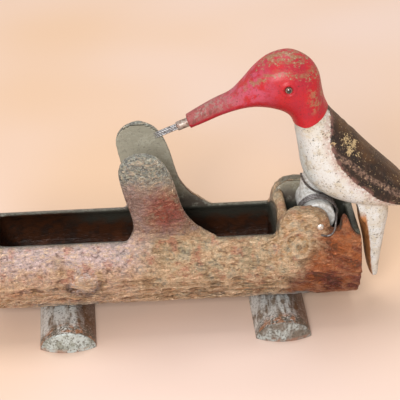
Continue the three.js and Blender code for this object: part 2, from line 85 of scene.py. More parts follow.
# ------------------------------------------------------------------ sizes, millimetres
PIVOT_X, PIVOT_Z = 77.3, 57.0
SHIFT = np.array([500 * (PIN_BOX[0].x + PIN_BOX[1].x) - PIVOT_X, 0, 0])
AXIS_Z = 34.0
LOG_RADIUS, SADDLE_RADIUS = 25.2, 26.0
RIM_Z, FLOOR_Z = 51.4, 15.0
TROUGH_LEFT, TROUGH_CORNER, TROUGH_RADIUS = -89.5, 7.0, 22.5
TROUGH_HALF, WELL_HALF = 15.5, 14.5
BULKHEAD_LEFT, WELL_LEFT = 55.6, 62.0
END_WALL_LEFT, END_WALL_TOP = 95.3, 49.5
LEFT_END = [(-95.9, 0.955), (-95.4, 0.985), (-94, 1)]
RIGHT_END = [(97.6, 1), (98.9, 0.985), (99.4, 0.955)]
STUB_TOP = 102.5
FEET = {"left": -55.3, "right": 57.4}
FOOT_HALF, FOOT_HEIGHT, FOOT_REACH, FOOT_BULGE = 14.7, 11.9, 36.6, 4.4
HUB_RADIUS, HUB_HALF, BORE_RADIUS = 9.0, 12.8, 2.05
NEEDLE_SLOPE = math.radians(22.5)
BEAK_END = np.array([11.0, 0.0, 110.6])
PECK = np.array([-math.cos(NEEDLE_SLOPE), 0.0, -math.sin(NEEDLE_SLOPE)])
LIFT = np.array([-math.sin(NEEDLE_SLOPE), 0.0, math.cos(NEEDLE_SLOPE)])
EYE = np.array([60.5, 12.9, 132.6])
EYE_RADIUS = 2.05
PIN_RADIUS, PIN_LENGTH, PIN_DOME = 1.75, 43.8, 0.95
PLUG_RADIUS, PLUG_LENGTH, PLUG_REACH = 2.35, 13.0, 6.2
NEEDLE_RADIUS, NEEDLE_SHANK, NEEDLE_POINT, NEEDLE_RING = 0.45, 12.6, 3.4, 1.2
KNOT, BUD, BURR, BURR_PIT = (-46.0, 31.5), (58.6, 23.6), (67.0, 46.5), (62.2, 50.2)
CRACK_LINE = [[-34, 38.6], [-30.5, 39.3], [-26, 40.2], [-22.6, 43], [-20, 46]]
CAMERA_PLACE = (-0.039334, -0.762720, 0.514669)
CAMERA_HEIGHT, CAMERA_TURN, CAMERA_ROLL, CAMERA_LENS = 30.5, 4.2, 0.57, 153

STUB_ROWS = [
    [38, -26, 32], [46, -25.5, 30], [50, -23.6, 26.5], [51.5, -22.6, 24.5], [53.5, -21, 21.6],
    [56, -19.9, 18], [60, -19.2, 12.9], [64, -19.4, 9.6], [69, -20.6, 6.8], [76, -22.7, 4.6],
    [83, -24.4, 2.8], [89, -25.6, 0.8], [93, -25.7, -0.9], [96.5, -24.7, -3.1],
    [99.5, -22.4, -5.8], [101.5, -19.2, -9.3], [STUB_TOP, -15.6, -13.2],
]
EAR_ROWS = [
    [54.6, 40], [55.2, 51], [56, 56.5], [57.6, 60.4], [60.2, 63.4], [64, 65.6], [69, 66.2],
    [74, 65.6], [78.4, 64], [81.2, 61.4], [82.6, 58], [82.9, 55], [83.6, 53.2], [86, 52.6],
    [88, 53.4], [88.6, 56.5], [89.6, 59.4], [91, 60], [92.6, 57.6], [94.2, 53.4],
    [95.6, 50], [97, 46], [97, 40],
]
BULKHEAD_ROWS = [
    [54.8, 44], [55, 52], [56.2, 56.6], [57.8, 59.2], [59.4, 60], [60.4, 60], [62, 58.2], [62, 44],
]
BIRD_ROWS = [
    [11, 111, -20.3, 3.9, 3.4], [18.8, 115, -17.6, 4.6, 4], [26.2, 118.8, -15.2, 4.9, 4.8],
    [33.4, 121.8, -9.4, 5.3, 6.2], [39.6, 125.6, -7.5, 7.4, 8.5], [46, 129.6, -4.5, 10.9, 11.1],
    [53.2, 131.8, -2.8, 14.3, 12.9], [60.8, 131.8, 5, 16.5, 13.7], [66.7, 128.8, 15.6, 16.3, 13.6],
    [70.3, 124.1, 24.8, 15, 13.1], [72, 117.7, 33.6, 12.5, 12.2], [73.2, 111.9, 40.6, 11.5, 11.8],
    [75.3, 106.5, 45.5, 12.1, 12.2], [79.2, 99.5, 54.1, 14.1, 13.6], [84.2, 91, 64.3, 16.9, 15.2],
    [89.4, 83.4, 67.9, 19, 16.2], [95.8, 76.4, 68.2, 19.4, 16.6], [102.8, 71, 68.3, 18.3, 16.4],
    [109, 67.4, 69.1, 16.4, 15.4], [116, 64.6, 66, 12.6, 13.2], [123, 62.3, 62, 8.6, 10.6],
    [129.5, 59.9, 58, 4.8, 7.6], [133.5, 58.2, 56, 1.6, 3.6],
]
TAIL_ROWS = [
    [66, 97, 114, 11.5], [60, 98.6, 115.8, 11.2], [54, 99.9, 116.2, 10.8], [49.4, 100.4, 115.7, 10.5],
    [46, 101.2, 115.2, 10.3], [41, 102.4, 114.5, 10], [35, 103.6, 113.8, 9.4], [28, 104.6, 113, 8.6],
    [21, 106, 112.4, 7.4], [16.5, 107.4, 112.2, 6.2], [14.9, 108.4, 111.9, 4.6],
]
LEG_ROWS = [
    [-7.4, 0, 8], [-8, 8, 8.4], [-7.7, 15, 12], [-5.4, 21, 9], [-2, 25, 6.5],
]
SPRING_HOOK = [
    [0.4, -22, -4.3], [3.4, -22.1, -4.9], [6.1, -22, -3.8],
    [7.5, -21.6, -0.8], [8, -20.6, 2.4], [8.8, -17, 4.6], [9.8, -13, 4.6],
]
SPRING_ARM = [[0.9, 11.1], [-2.6, 13.2], [-5.6, 16.3], [-7.6, 19.8], [-8.5, 23]]
COIL_RADIUS, WIRE_RADIUS, COIL_FRONT, COIL_BACK, COIL_TURNS = 10.5, 0.55, -9.2, -4.4, 3
HOOD_LINE = [
    [56, 103.5], [64.7, 108.6], [69.4, 109.6], [73.3, 111.3], [76.9, 113.6], [79.7, 115.5], [90, 124],
]
WING_LINE = [
    [76, 126], [80.6, 118], [82.8, 114.7], [82.8, 109.7], [82.3, 101.8], [84.4, 94.7], [87.2, 89.2],
    [94.6, 80.2], [102.7, 73.3], [107.1, 69.1], [115.7, 63.9], [128, 57.5], [140, 50],
]
TAIL_LINE = [[101, 64], [103.1, 55], [105.3, 40.1], [106.5, 23.7], [108.8, 11]]
STREAK_LINE = [[84, 97], [87.2, 93.7], [92.5, 89.9], [97.8, 85.1], [104.2, 79.9], [111.3, 74.9], [120, 69]]


# ------------------------------------------------------------------ surfaces in numpy
def curve_through(rows, steps):
    """Catmull-Rom curve: each gap a..b becomes the cubic that passes a and b with the slope
    (next - previous) / 2 at each, sampled `steps` times."""
    rows = np.asarray(rows, float)
    padded = np.vstack([2 * rows[0] - rows[1], rows, 2 * rows[-1] - rows[-2]])
    gap = np.repeat(np.arange(len(rows) - 1), steps)
    t = np.tile(np.arange(steps) / steps, len(rows) - 1)[:, None]
    a, b, c, d = padded[gap], padded[gap + 1], padded[gap + 2], padded[gap + 3]
    curve = 0.5 * (
        2 * b + (c - a) * t + (2 * a - 5 * b + 4 * c - d) * t**2 + (3 * b - a - 3 * c + d) * t**3
    )
    return np.vstack([curve, rows[-1]])


def skin(rings):
    """Closed skin over a stack of rings (rings, points, xyz) with an even number of points:
    quads join ring to ring, and each end is closed by strips from point i to its opposite
    point, so a ring may be any ribbon-like outline. Faces point outwards."""
    rings = np.asarray(rings, float)
    count, around = rings.shape[:2]
    row, column = np.meshgrid(np.arange(count - 1), np.arange(around), indexing="ij")
    here = (row * around + column).ravel()
    beside = (row * around + (column + 1) % around).ravel()
    sides = np.stack([here, beside, beside + around, here + around], 1)
    i = np.arange(around // 2 - 1)
    cap = np.stack([i, i + 1, around - 2 - i, around - 1 - i], 1)
    last = (count - 1) * around
    faces = np.vstack([sides, cap[:, ::-1], cap + last])
    points = rings.reshape(-1, 3)
    a, b, c, d = (points[faces[:, k]] for k in range(4))
    middle = points.mean(0)
    volume = np.einsum("ij,ij->", a - middle, np.cross(b - middle, c - middle))
    volume += np.einsum("ij,ij->", a - middle, np.cross(c - middle, d - middle))
    return points, faces if volume > 0 else faces[:, ::-1]


def joined(skins):
    """The skins as one set of points and faces."""
    starts = np.cumsum([0] + [len(points) for points, _ in skins[:-1]])
    return (
        np.vstack([points for points, _ in skins]),
        np.vstack([faces + start for (_, faces), start in zip(skins, starts)]),
    )


def turned(profile, start, direction, around=32):
    """Surface of revolution: the point (radius, distance) of the profile goes round the line
    from start along direction, radius * cos(angle) one way and radius * sin(angle) the other."""
    along = np.asarray(direction, float) / np.linalg.norm(direction)
    side = np.cross(along, [0.3, 0.9, 0.2])
    side /= np.linalg.norm(side)
    other = np.cross(along, side)
    angle = np.linspace(0, 2 * math.pi, around, endpoint=False)
    wheel = np.cos(angle)[:, None] * side + np.sin(angle)[:, None] * other
    profile = np.asarray(profile, float)
    rings = start + profile[:, 1, None, None] * along + profile[:, 0, None, None] * wheel
    return skin(rings)


def tube(path, radius, around=10):
    """Tube of one radius along a path: each ring stands square to the path's tangent on the
    two directions that are carried along it without twisting."""
    path = np.asarray(path, float)
    tangent = np.gradient(path, axis=0)
    tangent /= np.linalg.norm(tangent, axis=1)[:, None]
    start = np.cross(tangent[0], [0.1, 0.2, 1.0])
    sides = [start / np.linalg.norm(start)]
    for direction in tangent[1:]:
        side = sides[-1] - direction * np.dot(sides[-1], direction)
        sides.append(side / np.linalg.norm(side))
    side = np.array(sides)
    other = np.cross(tangent, side)
    angle = np.linspace(0, 2 * math.pi, around, endpoint=False)[None, :, None]
    rings = path[:, None] + radius * (np.cos(angle) * side[:, None] + np.sin(angle) * other[:, None])
    return skin(rings)


def slab(outline, floor, levels, squeeze=None):
    """Plate over an [x, z] outline that runs left to right: its lower edge is the outline
    pressed down to z = floor, and its rings stand at the y levels. With squeeze = (x, z) the
    part above z shrinks by each level's scale towards that point."""
    outline = np.asarray(outline, float)
    below = np.stack([outline[::-1, 0], np.full(len(outline), float(floor))], 1)
    loop = np.vstack([outline, below])
    rings = []
    for y, scale in levels:
        x, z = loop.T
        if squeeze:
            high = z > squeeze[1]
            x = np.where(high, squeeze[0] + (x - squeeze[0]) * scale**0.4, x)
            z = np.where(high, squeeze[1] + (z - squeeze[1]) * scale, z)
        rings.append(np.stack([x, np.full(len(loop), float(y)), z], 1))
    return skin(rings)


def put_in_mesh(mesh, points, faces):
    """Points in millimetres and four-cornered faces into a Blender mesh in metres."""
    mesh.vertices.add(len(points))
    mesh.vertices.foreach_set("co", ((points + SHIFT) * 0.001).astype(np.float32).ravel())
    mesh.loops.add(faces.size)
    mesh.loops.foreach_set("vertex_index", faces.astype(np.int32).ravel())
    mesh.polygons.add(len(faces))
    mesh.polygons.foreach_set("loop_start", np.arange(0, faces.size, 4, dtype=np.int32))
    mesh.polygons.foreach_set("loop_total", np.full(len(faces), 4, np.int32))
    mesh.update(calc_edges=True)
    mesh.validate()


def piece(name, points, faces, material, body, node):
    """A finished piece that rides on a body and stands for a CAD node."""
    mesh = bpy.data.meshes.new(name)
    put_in_mesh(mesh, points, faces)
    mesh.shade_smooth()
    made = bpy.data.objects.new(name, mesh)
    bpy.context.scene.collection.objects.link(made)
    made.data.materials.append(material)
    if body:
        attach(made, body)
    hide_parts(node)
    return made


def store(made, **values):
    """Each named array becomes a float attribute on the piece's points."""
    for name, numbers in values.items():
        attribute = made.data.attributes.new(name, "FLOAT", "POINT")
        attribute.data.foreach_set("value", np.asarray(numbers, np.float32))


def fused(skins, voxel):
    """One closed skin round several overlapping ones: they are remeshed together on a
    grid of `voxel` millimetres, and the result comes back as points and faces."""
    points, faces = joined(skins)
    mesh = bpy.data.meshes.new("rough")
    put_in_mesh(mesh, points, faces)
    rough = bpy.data.objects.new("rough", mesh)
    bpy.context.scene.collection.objects.link(rough)
    union = rough.modifiers.new("union", "REMESH")
    union.mode = "VOXEL"
    union.voxel_size = voxel * 0.001
    union.adaptivity = 0
    bpy.context.view_layer.update()
    whole = rough.evaluated_get(bpy.context.evaluated_depsgraph_get())
    made = whole.to_mesh()
    count = len(made.vertices)
    where = np.empty(count * 3, np.float32)
    made.vertices.foreach_get("co", where)
    corners = np.empty(len(made.loops), np.int32)
    made.loops.foreach_get("vertex_index", corners)
    if len(corners) != 4 * len(made.polygons):
        raise RuntimeError("the union has faces that are not four-cornered")
    whole.to_mesh_clear()
    bpy.data.objects.remove(rough)
    bpy.data.meshes.remove(mesh)
    return where.reshape(-1, 3).astype(float) * 1000 - SHIFT, corners.reshape(-1, 4)


def neighbours_mean(points, faces):
    """Mean of each point's neighbours along the edges of the faces."""
    a = np.concatenate([faces[:, k] for k in range(4)] + [faces[:, (k + 1) % 4] for k in range(4)])
    b = np.concatenate([faces[:, (k + 1) % 4] for k in range(4)] + [faces[:, k] for k in range(4)])
    number = np.bincount(a, minlength=len(points))
    total = np.stack([np.bincount(a, points[b, k], len(points)) for k in range(points.shape[1])], 1)
    return total / number[:, None]


def relaxed(points, faces, rounds=4):
    """Smoothing that keeps the volume: a step of 0.5 towards the neighbours' mean, then a
    step of 0.52 away from it, `rounds` times."""
    for _ in range(rounds):
        points = points + 0.5 * (neighbours_mean(points, faces) - points)
        points = points - 0.52 * (neighbours_mean(points, faces) - points)
    return points


def normals_of(points, faces):
    """Unit normal at each point: the sum of its faces' diagonal cross products."""
    across = np.cross(points[faces[:, 2]] - points[faces[:, 0]], points[faces[:, 3]] - points[faces[:, 1]])
    corner = faces.ravel()
    spread = np.repeat(across, 4, 0)
    total = np.stack([np.bincount(corner, spread[:, k], len(points)) for k in range(3)], 1)
    return total / np.maximum(np.linalg.norm(total, axis=1), 1e-9)[:, None]


def lattice(cell, seed):
    """A repeatable number from 0 to 1 for each whole-numbered cell."""
    mixed = cell[..., 0] * 374761393 + cell[..., 1] * 668265263
    mixed = mixed + cell[..., 2] * 2147483647 + seed * 1274126177
    mixed = (mixed ^ (mixed >> 13)) * 1103515245 & 0x7FFFFFFF
    mixed = (mixed ^ (mixed >> 16)) & 0xFFFF
    return mixed / 65535.0


def grainy(points, seed=1, octaves=3):
    """Value noise from -1 to 1: random numbers at whole coordinates blended by 3t^2 - 2t^3,
    summed over octaves of half the size and half the strength."""
    total, weight, strength = 0.0, 0.0, 1.0
    for octave in range(octaves):
        scaled = points * 2.0**octave + 17.3 * octave
        cell = np.floor(scaled).astype(np.int64)
        t = scaled - cell
        t = t * t * (3 - 2 * t)
        value = 0.0
        for corner in range(8):
            offset = np.array([corner & 1, corner >> 1 & 1, corner >> 2 & 1])
            share = np.prod(np.where(offset == 1, t, 1 - t), axis=-1)
            value = value + share * lattice(cell + offset, seed + octave)
        total, weight = total + strength * (2 * value - 1), weight + strength
        strength *= 0.5
    return total / weight


def ramp(value, low, high):
    """0 below low, 1 above high, 3t^2 - 2t^3 between."""
    t = np.clip((value - low) / (high - low), 0, 1)
    return t * t * (3 - 2 * t)


def hump(distance, width):
    """Bell curve exp(-(distance / width)^2)."""
    return np.exp(-((distance / width) ** 2))


def side_of(points, line):
    """Signed distance in the x-z plane from each point to a broken line, positive on the
    left of its direction."""
    line = curve_through(line, 5)
    flat = points[:, [0, 2]]
    start, run = line[:-1], np.diff(line, axis=0)
    to = flat[:, None] - start
    share = np.clip((to * run).sum(2) / (run * run).sum(1), 0, 1)
    away = to - share[..., None] * run
    distance = np.linalg.norm(away, axis=2)
    nearest = distance.argmin(1)
    pick = np.arange(len(points))
    cross = run[nearest, 0] * to[pick, nearest, 1] - run[nearest, 1] * to[pick, nearest, 0]
    return distance[pick, nearest] * np.sign(cross)


def kept_in(points, node):
    """The points, held inside the CAD node's box."""
    low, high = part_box(node)
    inset = 0.02
    return np.clip(points, np.array(low) * 1000 - SHIFT + inset, np.array(high) * 1000 - SHIFT - inset)


# ------------------------------------------------------------------ shader tools
class Wire:
    """A shader socket; arithmetic on it adds Math nodes."""

    def __init__(self, finish, socket):
        self.finish, self.socket = finish, socket

    def _math(self, operation, first, second):
        """One Math node on two numbers or sockets."""
        return self.finish.node("Math", {"operation": operation}, {0: first, 1: second})

    def __add__(self, other):
        return self._math("ADD", self, other)

    def __sub__(self, other):
        return self._math("SUBTRACT", self, other)

    def __rsub__(self, other):
        return self._math("SUBTRACT", other, self)

    def __mul__(self, other):
        return self._math("MULTIPLY", self, other)

    __radd__, __rmul__ = __add__, __mul__

    def __pow__(self, other):
        return self._math("POWER", self, other)


class Finish:
    """One procedural material and the nodes that it is made of."""

    def __init__(self, name, roughness=0.5, metallic=0.0):
        self.material = bpy.data.materials.new(name)
        self.material.use_nodes = True
        self.tree = self.material.node_tree
        self.shader = self.tree.nodes["Principled BSDF"]
        self.set(Roughness=roughness, Metallic=metallic)

    def node(self, kind, settings, sockets, out=0):
        """Adds a shader node: its settings first, then its sockets' values or links."""
        made = self.tree.nodes.new("ShaderNode" + kind)
        for key, value in settings.items():
            setattr(made, key, value)
        for key, value in sockets.items():
            self.feed(made.inputs[key], value)
        return Wire(self, made.outputs[out])

    def feed(self, socket, value):
        """Links a wire to the socket, or sets a number or colour on it."""
        if isinstance(value, Wire):
            self.tree.links.new(value.socket, socket)
        elif hasattr(value, "__len__") and socket.type == "RGBA":
            socket.default_value = (*tuple(value)[:3], 1)
        else:
            socket.default_value = value

    def set(self, **sockets):
        """Sets or links the shader's own sockets, named with _ for a space."""
        for name, value in sockets.items():
            self.feed(self.shader.inputs[name.replace("_", " ")], value)

    def millimetres(self, stretch=(1, 1, 1)):
        """Place on the piece in millimetres, each direction divided by its stretch."""
        here = self.node("TexCoord", {}, {}, 3)
        scale = tuple(1000 / s for s in stretch)
        return self.node("VectorMath", {"operation": "MULTIPLY"}, {0: here, 1: scale})

    def split(self, vector):
        """The x, y and z of a vector."""
        made = self.node("SeparateXYZ", {}, {0: vector})
        outputs = made.socket.node.outputs
        return tuple(Wire(self, outputs[k]) for k in range(3))

    def noise(self, place, size, detail=3, rough=0.55, twist=0.0):
        """Cloudy noise from 0 to 1 whose blobs are about `size` millimetres."""
        return self.node("TexNoise", {}, {
            "Vector": place, "Scale": 1 / size, "Detail": detail, "Roughness": rough, "Distortion": twist,
        })

    def attribute(self, name):
        """A number stored on the piece's points."""
        return self.node("Attribute", {"attribute_name": name}, {}, 2)

    def step(self, value, low, high):
        """0 below low, 1 above high and smooth between; low may be the larger."""
        settings = {"interpolation_type": "SMOOTHSTEP"}
        if low < high:
            return self.node("MapRange", settings, {0: value, 1: low, 2: high})
        return self.node("MapRange", settings, {0: value, 1: high, 2: low, 3: 1.0, 4: 0.0})

    def near(self, x, y, centre, radius, soft=0.3):
        """1 within a radius of a point in two coordinates, fading at the edge."""
        across, up = x - centre[0], y - centre[1]
        distance = (across * across + up * up) ** 0.5
        return self.step(distance, radius * (1 + soft), radius * (1 - soft))

    def mix(self, first, second, share):
        """First colour where share is 0, second where it is 1."""
        return self.node("Mix", {"data_type": "RGBA"}, {0: share, 6: first, 7: second}, 2)

    def layers(self, colour, *coats):
        """The colour with each (colour, share) coat laid over it in turn."""
        for coat, share in coats:
            colour = self.mix(colour, coat, share)
        return colour

    def bump(self, height, millimetres, strength=1.0):
        """Normal of a surface that stands `height` times so many millimetres proud."""
        sockets = {"Strength": strength, "Distance": millimetres * 0.001, "Height": height}
        self.set(Normal=self.node("Bump", {}, sockets))


# ------------------------------------------------------------------ settings
def colour_property(name, description, default):
    """A colour that a user may change."""
    return FloatVectorProperty(name=name, description=description, subtype="COLOR", default=default)


def length_property(name, description, millimetres):
    """A length that a user may change, kept in metres."""
    return FloatProperty(
        name=name, description=description, subtype="DISTANCE", default=millimetres * 0.001,
        min=0, precision=5,
    )


class LogSettings(bpy.types.PropertyGroup):
    """Bark and patina of the cast log."""

    bark_depth: length_property("Bark depth", "Height of the cast bark ridges", 1.2)
    knot_height: length_property("Knot height", "How far the branch knot stands proud", 0.9)
    bronze: colour_property("Bronze", "Worn golden brown of the bark", (0.52, 0.33, 0.19))
    copper: colour_property("Copper", "Pinkish rubbed metal", (0.66, 0.42, 0.32))
    rust: colour_property("Red brown", "Red-brown finish of the hinge end", (0.25, 0.07, 0.03))
    verdigris: colour_property("Verdigris", "Grey-green bloom on stubs and rim", (0.30, 0.33, 0.27))


class BirdSettings(bpy.types.PropertyGroup):
    """Paint of the bird."""

    red: colour_property("Red", "Head and beak", (0.46, 0.012, 0.020))
    white: colour_property("White", "Breast and tail", (0.60, 0.58, 0.53))
    black: colour_property("Black", "Back and wings", (0.022, 0.015, 0.012))
    wing_height: length_property("Wing height", "How far the folded wings stand proud", 0.5)
    wear: FloatProperty(
        name="Wear", description="How much paint is chipped away", subtype="FACTOR",
        default=0.5, min=0, max=1,
    )


class StageSettings(bpy.types.PropertyGroup):
    """Table and light."""

    table: colour_property("Table", "Pale table top", (0.69, 0.475, 0.32))
    key_watts: FloatProperty(
        name="Key light", description="Soft light from the front left", unit="POWER", default=18.5, min=0,
    )
    sky: FloatProperty(name="Room light", description="Strength of the light all round", default=0.60, min=0)


# ------------------------------------------------------------------ log casting
def trough_rings():
    """U-shaped wall carried along x. Its outside is the circle of the log from rim to rim
    under the trough, its inside the flat floor, the round wall and the straight lips; one
    share of the length of each gives a pair of points."""
    stations = LEFT_END + [(x, 1) for x in (-90, -89.4, -88.6, -87, -85, -82.5)]
    stations += [(x, 1) for x in np.linspace(-78, 56, 60)]
    stations += [(x, 1) for x in (WELL_LEFT, 70, 80, 90, END_WALL_LEFT)] + RIGHT_END
    straight = TROUGH_LEFT + TROUGH_CORNER
    narrow = TROUGH_HALF - TROUGH_CORNER
    share = np.linspace(-1, 1, 61)
    rings = []
    for x, scale in stations:
        top = RIM_Z if x <= END_WALL_LEFT else END_WALL_TOP
        half = WELL_HALF if x >= WELL_LEFT else TROUGH_HALF
        if x < straight:
            half = narrow + math.sqrt(max(0.0, TROUGH_CORNER**2 - (straight - x) ** 2))
        radius = LOG_RADIUS * scale
        reach = math.pi / 2 + math.asin(min(1, (top - AXIS_Z) / radius))
        angle = share * reach
        outer = np.stack([np.full(61, x), radius * np.sin(angle), AXIS_Z - radius * np.cos(angle)], 1)
        low = math.acos((AXIS_Z - FLOOR_Z) / TROUGH_RADIUS)
        high = math.pi - math.asin(min(1, half / TROUGH_RADIUS))
        arc = np.linspace(low, high, 40)
        side = np.stack([TROUGH_RADIUS * np.sin(arc), AXIS_Z - TROUGH_RADIUS * np.cos(arc)], 1)
        side[:, 0] = np.minimum(side[:, 0], TROUGH_RADIUS if x > straight else half + 6)
        wall = np.vstack([[0, FLOOR_Z], side, [half, top]])
        length = np.concatenate([[0], np.cumsum(np.linalg.norm(np.diff(wall, axis=0), axis=1))])
        at = np.abs(share) * length[-1]
        y = np.interp(at, length, wall[:, 0]) * np.sign(share)
        inner = np.stack([np.full(61, x), y, np.interp(at, length, wall[:, 1])], 1)
        rings.append(np.vstack([outer, inner[::-1]]))
    return rings


def disc_rings(levels, top):
    """Round plug: at each (x, scale) a circle of the log's section, cut flat at z = top."""
    angle = np.linspace(-math.pi, math.pi, 72, endpoint=False)
    return [
        np.stack([
            np.full(72, float(x)), LOG_RADIUS * scale * np.sin(angle),
            np.minimum(AXIS_Z - LOG_RADIUS * scale * np.cos(angle), top),
        ], 1)
        for x, scale in levels
    ]


def stub_rings(side):
    """Branch stub: at each height a D-shaped ring from left to right whose flat stands at the
    trough's side and whose back swells by sin(angle)^0.6."""
    rows = curve_through(STUB_ROWS, 3)
    angle = np.linspace(0, math.pi, 25)
    bulge = np.sin(angle) ** 0.6
    rings = []
    for z, left, right in rows:
        crown = math.sqrt(max(0.0, 1 - ((z - 89) / (STUB_TOP - 87)) ** 2))
        fullness = 0.45 + 0.55 * crown if z > 89 else 1.0
        base = math.sqrt(LOG_RADIUS**2 - min(z - AXIS_Z, RIM_Z - AXIS_Z) ** 2)
        blend = ramp(z, RIM_Z - 2, RIM_Z + 5)
        foot = (base - 0.2) * (1 - blend) + 20.9 * blend
        edge = (foot - 1) * (1 - blend) + 16.7 * blend
        y = edge + (foot - edge) * bulge * fullness
        x = (left + right) / 2 + (right - left) / 2 * np.cos(angle)
        back = np.stack([x, side * y, np.full(25, z)], 1)
        flat = max(TROUGH_HALF, math.sqrt(max(TROUGH_RADIUS**2 - (z - AXIS_Z) ** 2, 0))) + 0.1
        flat = np.stack([x[::-1], np.full(25, side * flat), np.full(25, z)], 1)
        rings.append(np.vstack([back, flat]))
    return rings


def log_skins():
    """The casting's closed skins: U-shaped wall, two end plugs, bulkhead with its lip, and a
    stub and an ear on each side. The bulkhead's half width at z is that of a circle."""
    lips = [(WELL_HALF - 1.0, 1), (WELL_HALF + 3.6, 1), (WELL_HALF + 5.1, 0.965), (WELL_HALF + 6, 0.9)]
    ear = curve_through(EAR_ROWS, 3)
    height = np.linspace(12, 49, 20)
    half = np.sqrt(np.maximum(23.6**2 - (height - AXIS_Z) ** 2, 4))
    lengthwise = np.array([BULKHEAD_LEFT, WELL_LEFT, WELL_LEFT, BULKHEAD_LEFT])
    wall = [
        np.stack([lengthwise, np.array([-wide, -wide, wide, wide]), np.full(4, z)], 1)
        for z, wide in zip(height, half)
    ]
    skins = [
        skin(trough_rings()),
        skin(disc_rings(LEFT_END + [(TROUGH_LEFT, 1)], RIM_Z + 1.2)),
        skin(disc_rings([(END_WALL_LEFT, 1)] + RIGHT_END, END_WALL_TOP)),
        skin(wall),
        slab(BULKHEAD_ROWS, 44, [(-15.9, 1), (0, 1), (15.9, 1)]),
    ]
    for side in (1, -1):
        skins.append(skin(stub_rings(side)))
        skins.append(slab(ear, 40, [(side * y, scale) for y, scale in lips], squeeze=(76, 50)))
    return skins


def bark_relief(points, normals, log):
    """Height in millimetres that the casting's bark adds along the normals: long ridges
    where the noise across the grain is folded, lumps, two knots and the burr on the ear."""
    x, y, z = points.T
    radial = np.stack([np.zeros_like(x), y, z - AXIS_Z], 1)
    distance = np.linalg.norm(radial, axis=1)
    facing = (normals * radial).sum(1) / np.maximum(distance, 1e-6)
    outside = ramp(facing, 0.05, 0.45) * ramp(distance, 22.9, 24.2)
    outside = np.maximum(outside, ramp(np.abs(y), 17.2, 18.4) * ramp(normals[:, 1] * np.sign(y), 0.0, 0.4))
    ends = ramp(np.abs(normals[:, 0]), 0.9, 0.6)
    around = np.arctan2(y, AXIS_Z - z) * LOG_RADIUS
    rising = ramp(x, 50, 70)
    across = around + 0.42 * (x - 50) * rising * np.sign(y)
    wave = 1.8 * grainy(np.stack([x / 15, around / 8, np.zeros_like(x)], 1), 5, 2)
    ridges = grainy(np.stack([x / 12, (across + wave) / 2.2, y * 0], 1), 11, 2)
    ridges = 1 - 3.4 * np.abs(ridges)
    low = np.maximum(ramp(z + 4 * grainy(points / 12.0, 8, 2), 40, 30), 0.6 * rising)
    lumps = grainy(points / 10.0, 3, 3)
    pits = grainy(points / 3.0, 9, 2)
    scales = grainy(np.stack([x / 3.4, around / 2.6, y * 0 + 5], 1), 17, 2)
    pebble = 1 - 2.8 * np.abs(scales)
    height = log.bark_depth * 1000 * (0.10 + 0.90 * low) * ridges + 0.50 * lumps + 0.20 * pits
    height += 0.34 * (1 - 0.6 * low) * pebble * ramp(z, 78, 60)
    front = y < 0
    knot = np.hypot((x - KNOT[0]) / 1.12, z - KNOT[1]) + 1.2 * grainy(points / 4.0, 13, 2)
    height = np.where(front, height * (0.25 + 0.75 * ramp(knot, 4, 8)), height)
    crease = 1.3 * hump(knot - 7.2, 1.3) * (0.25 + 0.75 * ramp(z, 35, 29))
    dome = log.knot_height * 1000 * (ramp(knot, 6.8, 2.5) - 0.35 * ramp(knot, 2.4, 0.6))
    height += np.where(front, dome - crease, 0)
    small = np.hypot(x - BUD[0], z - BUD[1]) + 0.6 * pits
    height += np.where(front, 0.9 * ramp(small, 3.6, 1.0) - 0.4 * hump(small - 4.0, 0.7), 0)
    burr = np.hypot((x - BURR[0]) / 0.85, z - BURR[1])
    turn = np.arctan2(z - BURR[1], x - BURR[0])
    swirl = np.sin(burr * 1.15 - turn + 2.8 * lumps) * (0.6 + 0.4 * pits)
    height = np.where(front, height * (0.35 + 0.65 * ramp(burr, 8, 12)), height)
    height += np.where(front, 1.05 * swirl * ramp(burr, 13, 8), 0)
    pit = np.hypot(x - BURR_PIT[0], z - BURR_PIT[1])
    height += np.where(front, -1.5 * hump(pit, 1.1) + 0.35 * hump(pit - 2, 0.7), 0)
    crack = np.abs(side_of(points, CRACK_LINE))
    height += np.where(front, -0.7 * hump(crack, 0.7), 0)
    edges = np.where(z > 44, ramp(normals[:, 2], 0.85, 0.45), 1.0)
    return height * outside * ends * edges, outside, distance


def build_log():
    """The log casting: its skins are fused and smoothed, the bark is raised along the normals,
    and the left end wall is pressed level with the rim."""
    log = bpy.context.scene.woodpecker_log
    points, faces = fused(log_skins(), 0.98)
    points = relaxed(points, faces, 3)
    normals = normals_of(points, faces)
    height, outside, distance = bark_relief(points, normals, log)
    height = np.clip(height, -1.5, 1.2)
    points = points + normals * (height + 0.06 * outside)[:, None]
    proud = (points[:, 0] < -80) & (points[:, 2] > RIM_Z)
    points[:, 2] = np.where(proud, RIM_Z, points[:, 2])
    points = kept_in(points, "log_casting")
    made = piece("log_patina", points, faces, bronze_finish(log), "base", "log_casting")
    x, y, z = points.T
    hollow = ramp(distance, 24.2, 22.6) * ramp(z, 60, 50)
    up = ramp(normals[:, 2], 0.55, 0.9)
    rim = up * ramp(np.abs(z - 51), 2.2, 1.2) * ramp(y, -22, -15)
    rim = np.maximum(rim, up * ramp(z, 58, 62) * ramp(y, 10, 13) * ramp(x, 40, 50))
    store(made, relief=height, outside=outside * (1 - hollow), hollow=hollow, rim=rim)


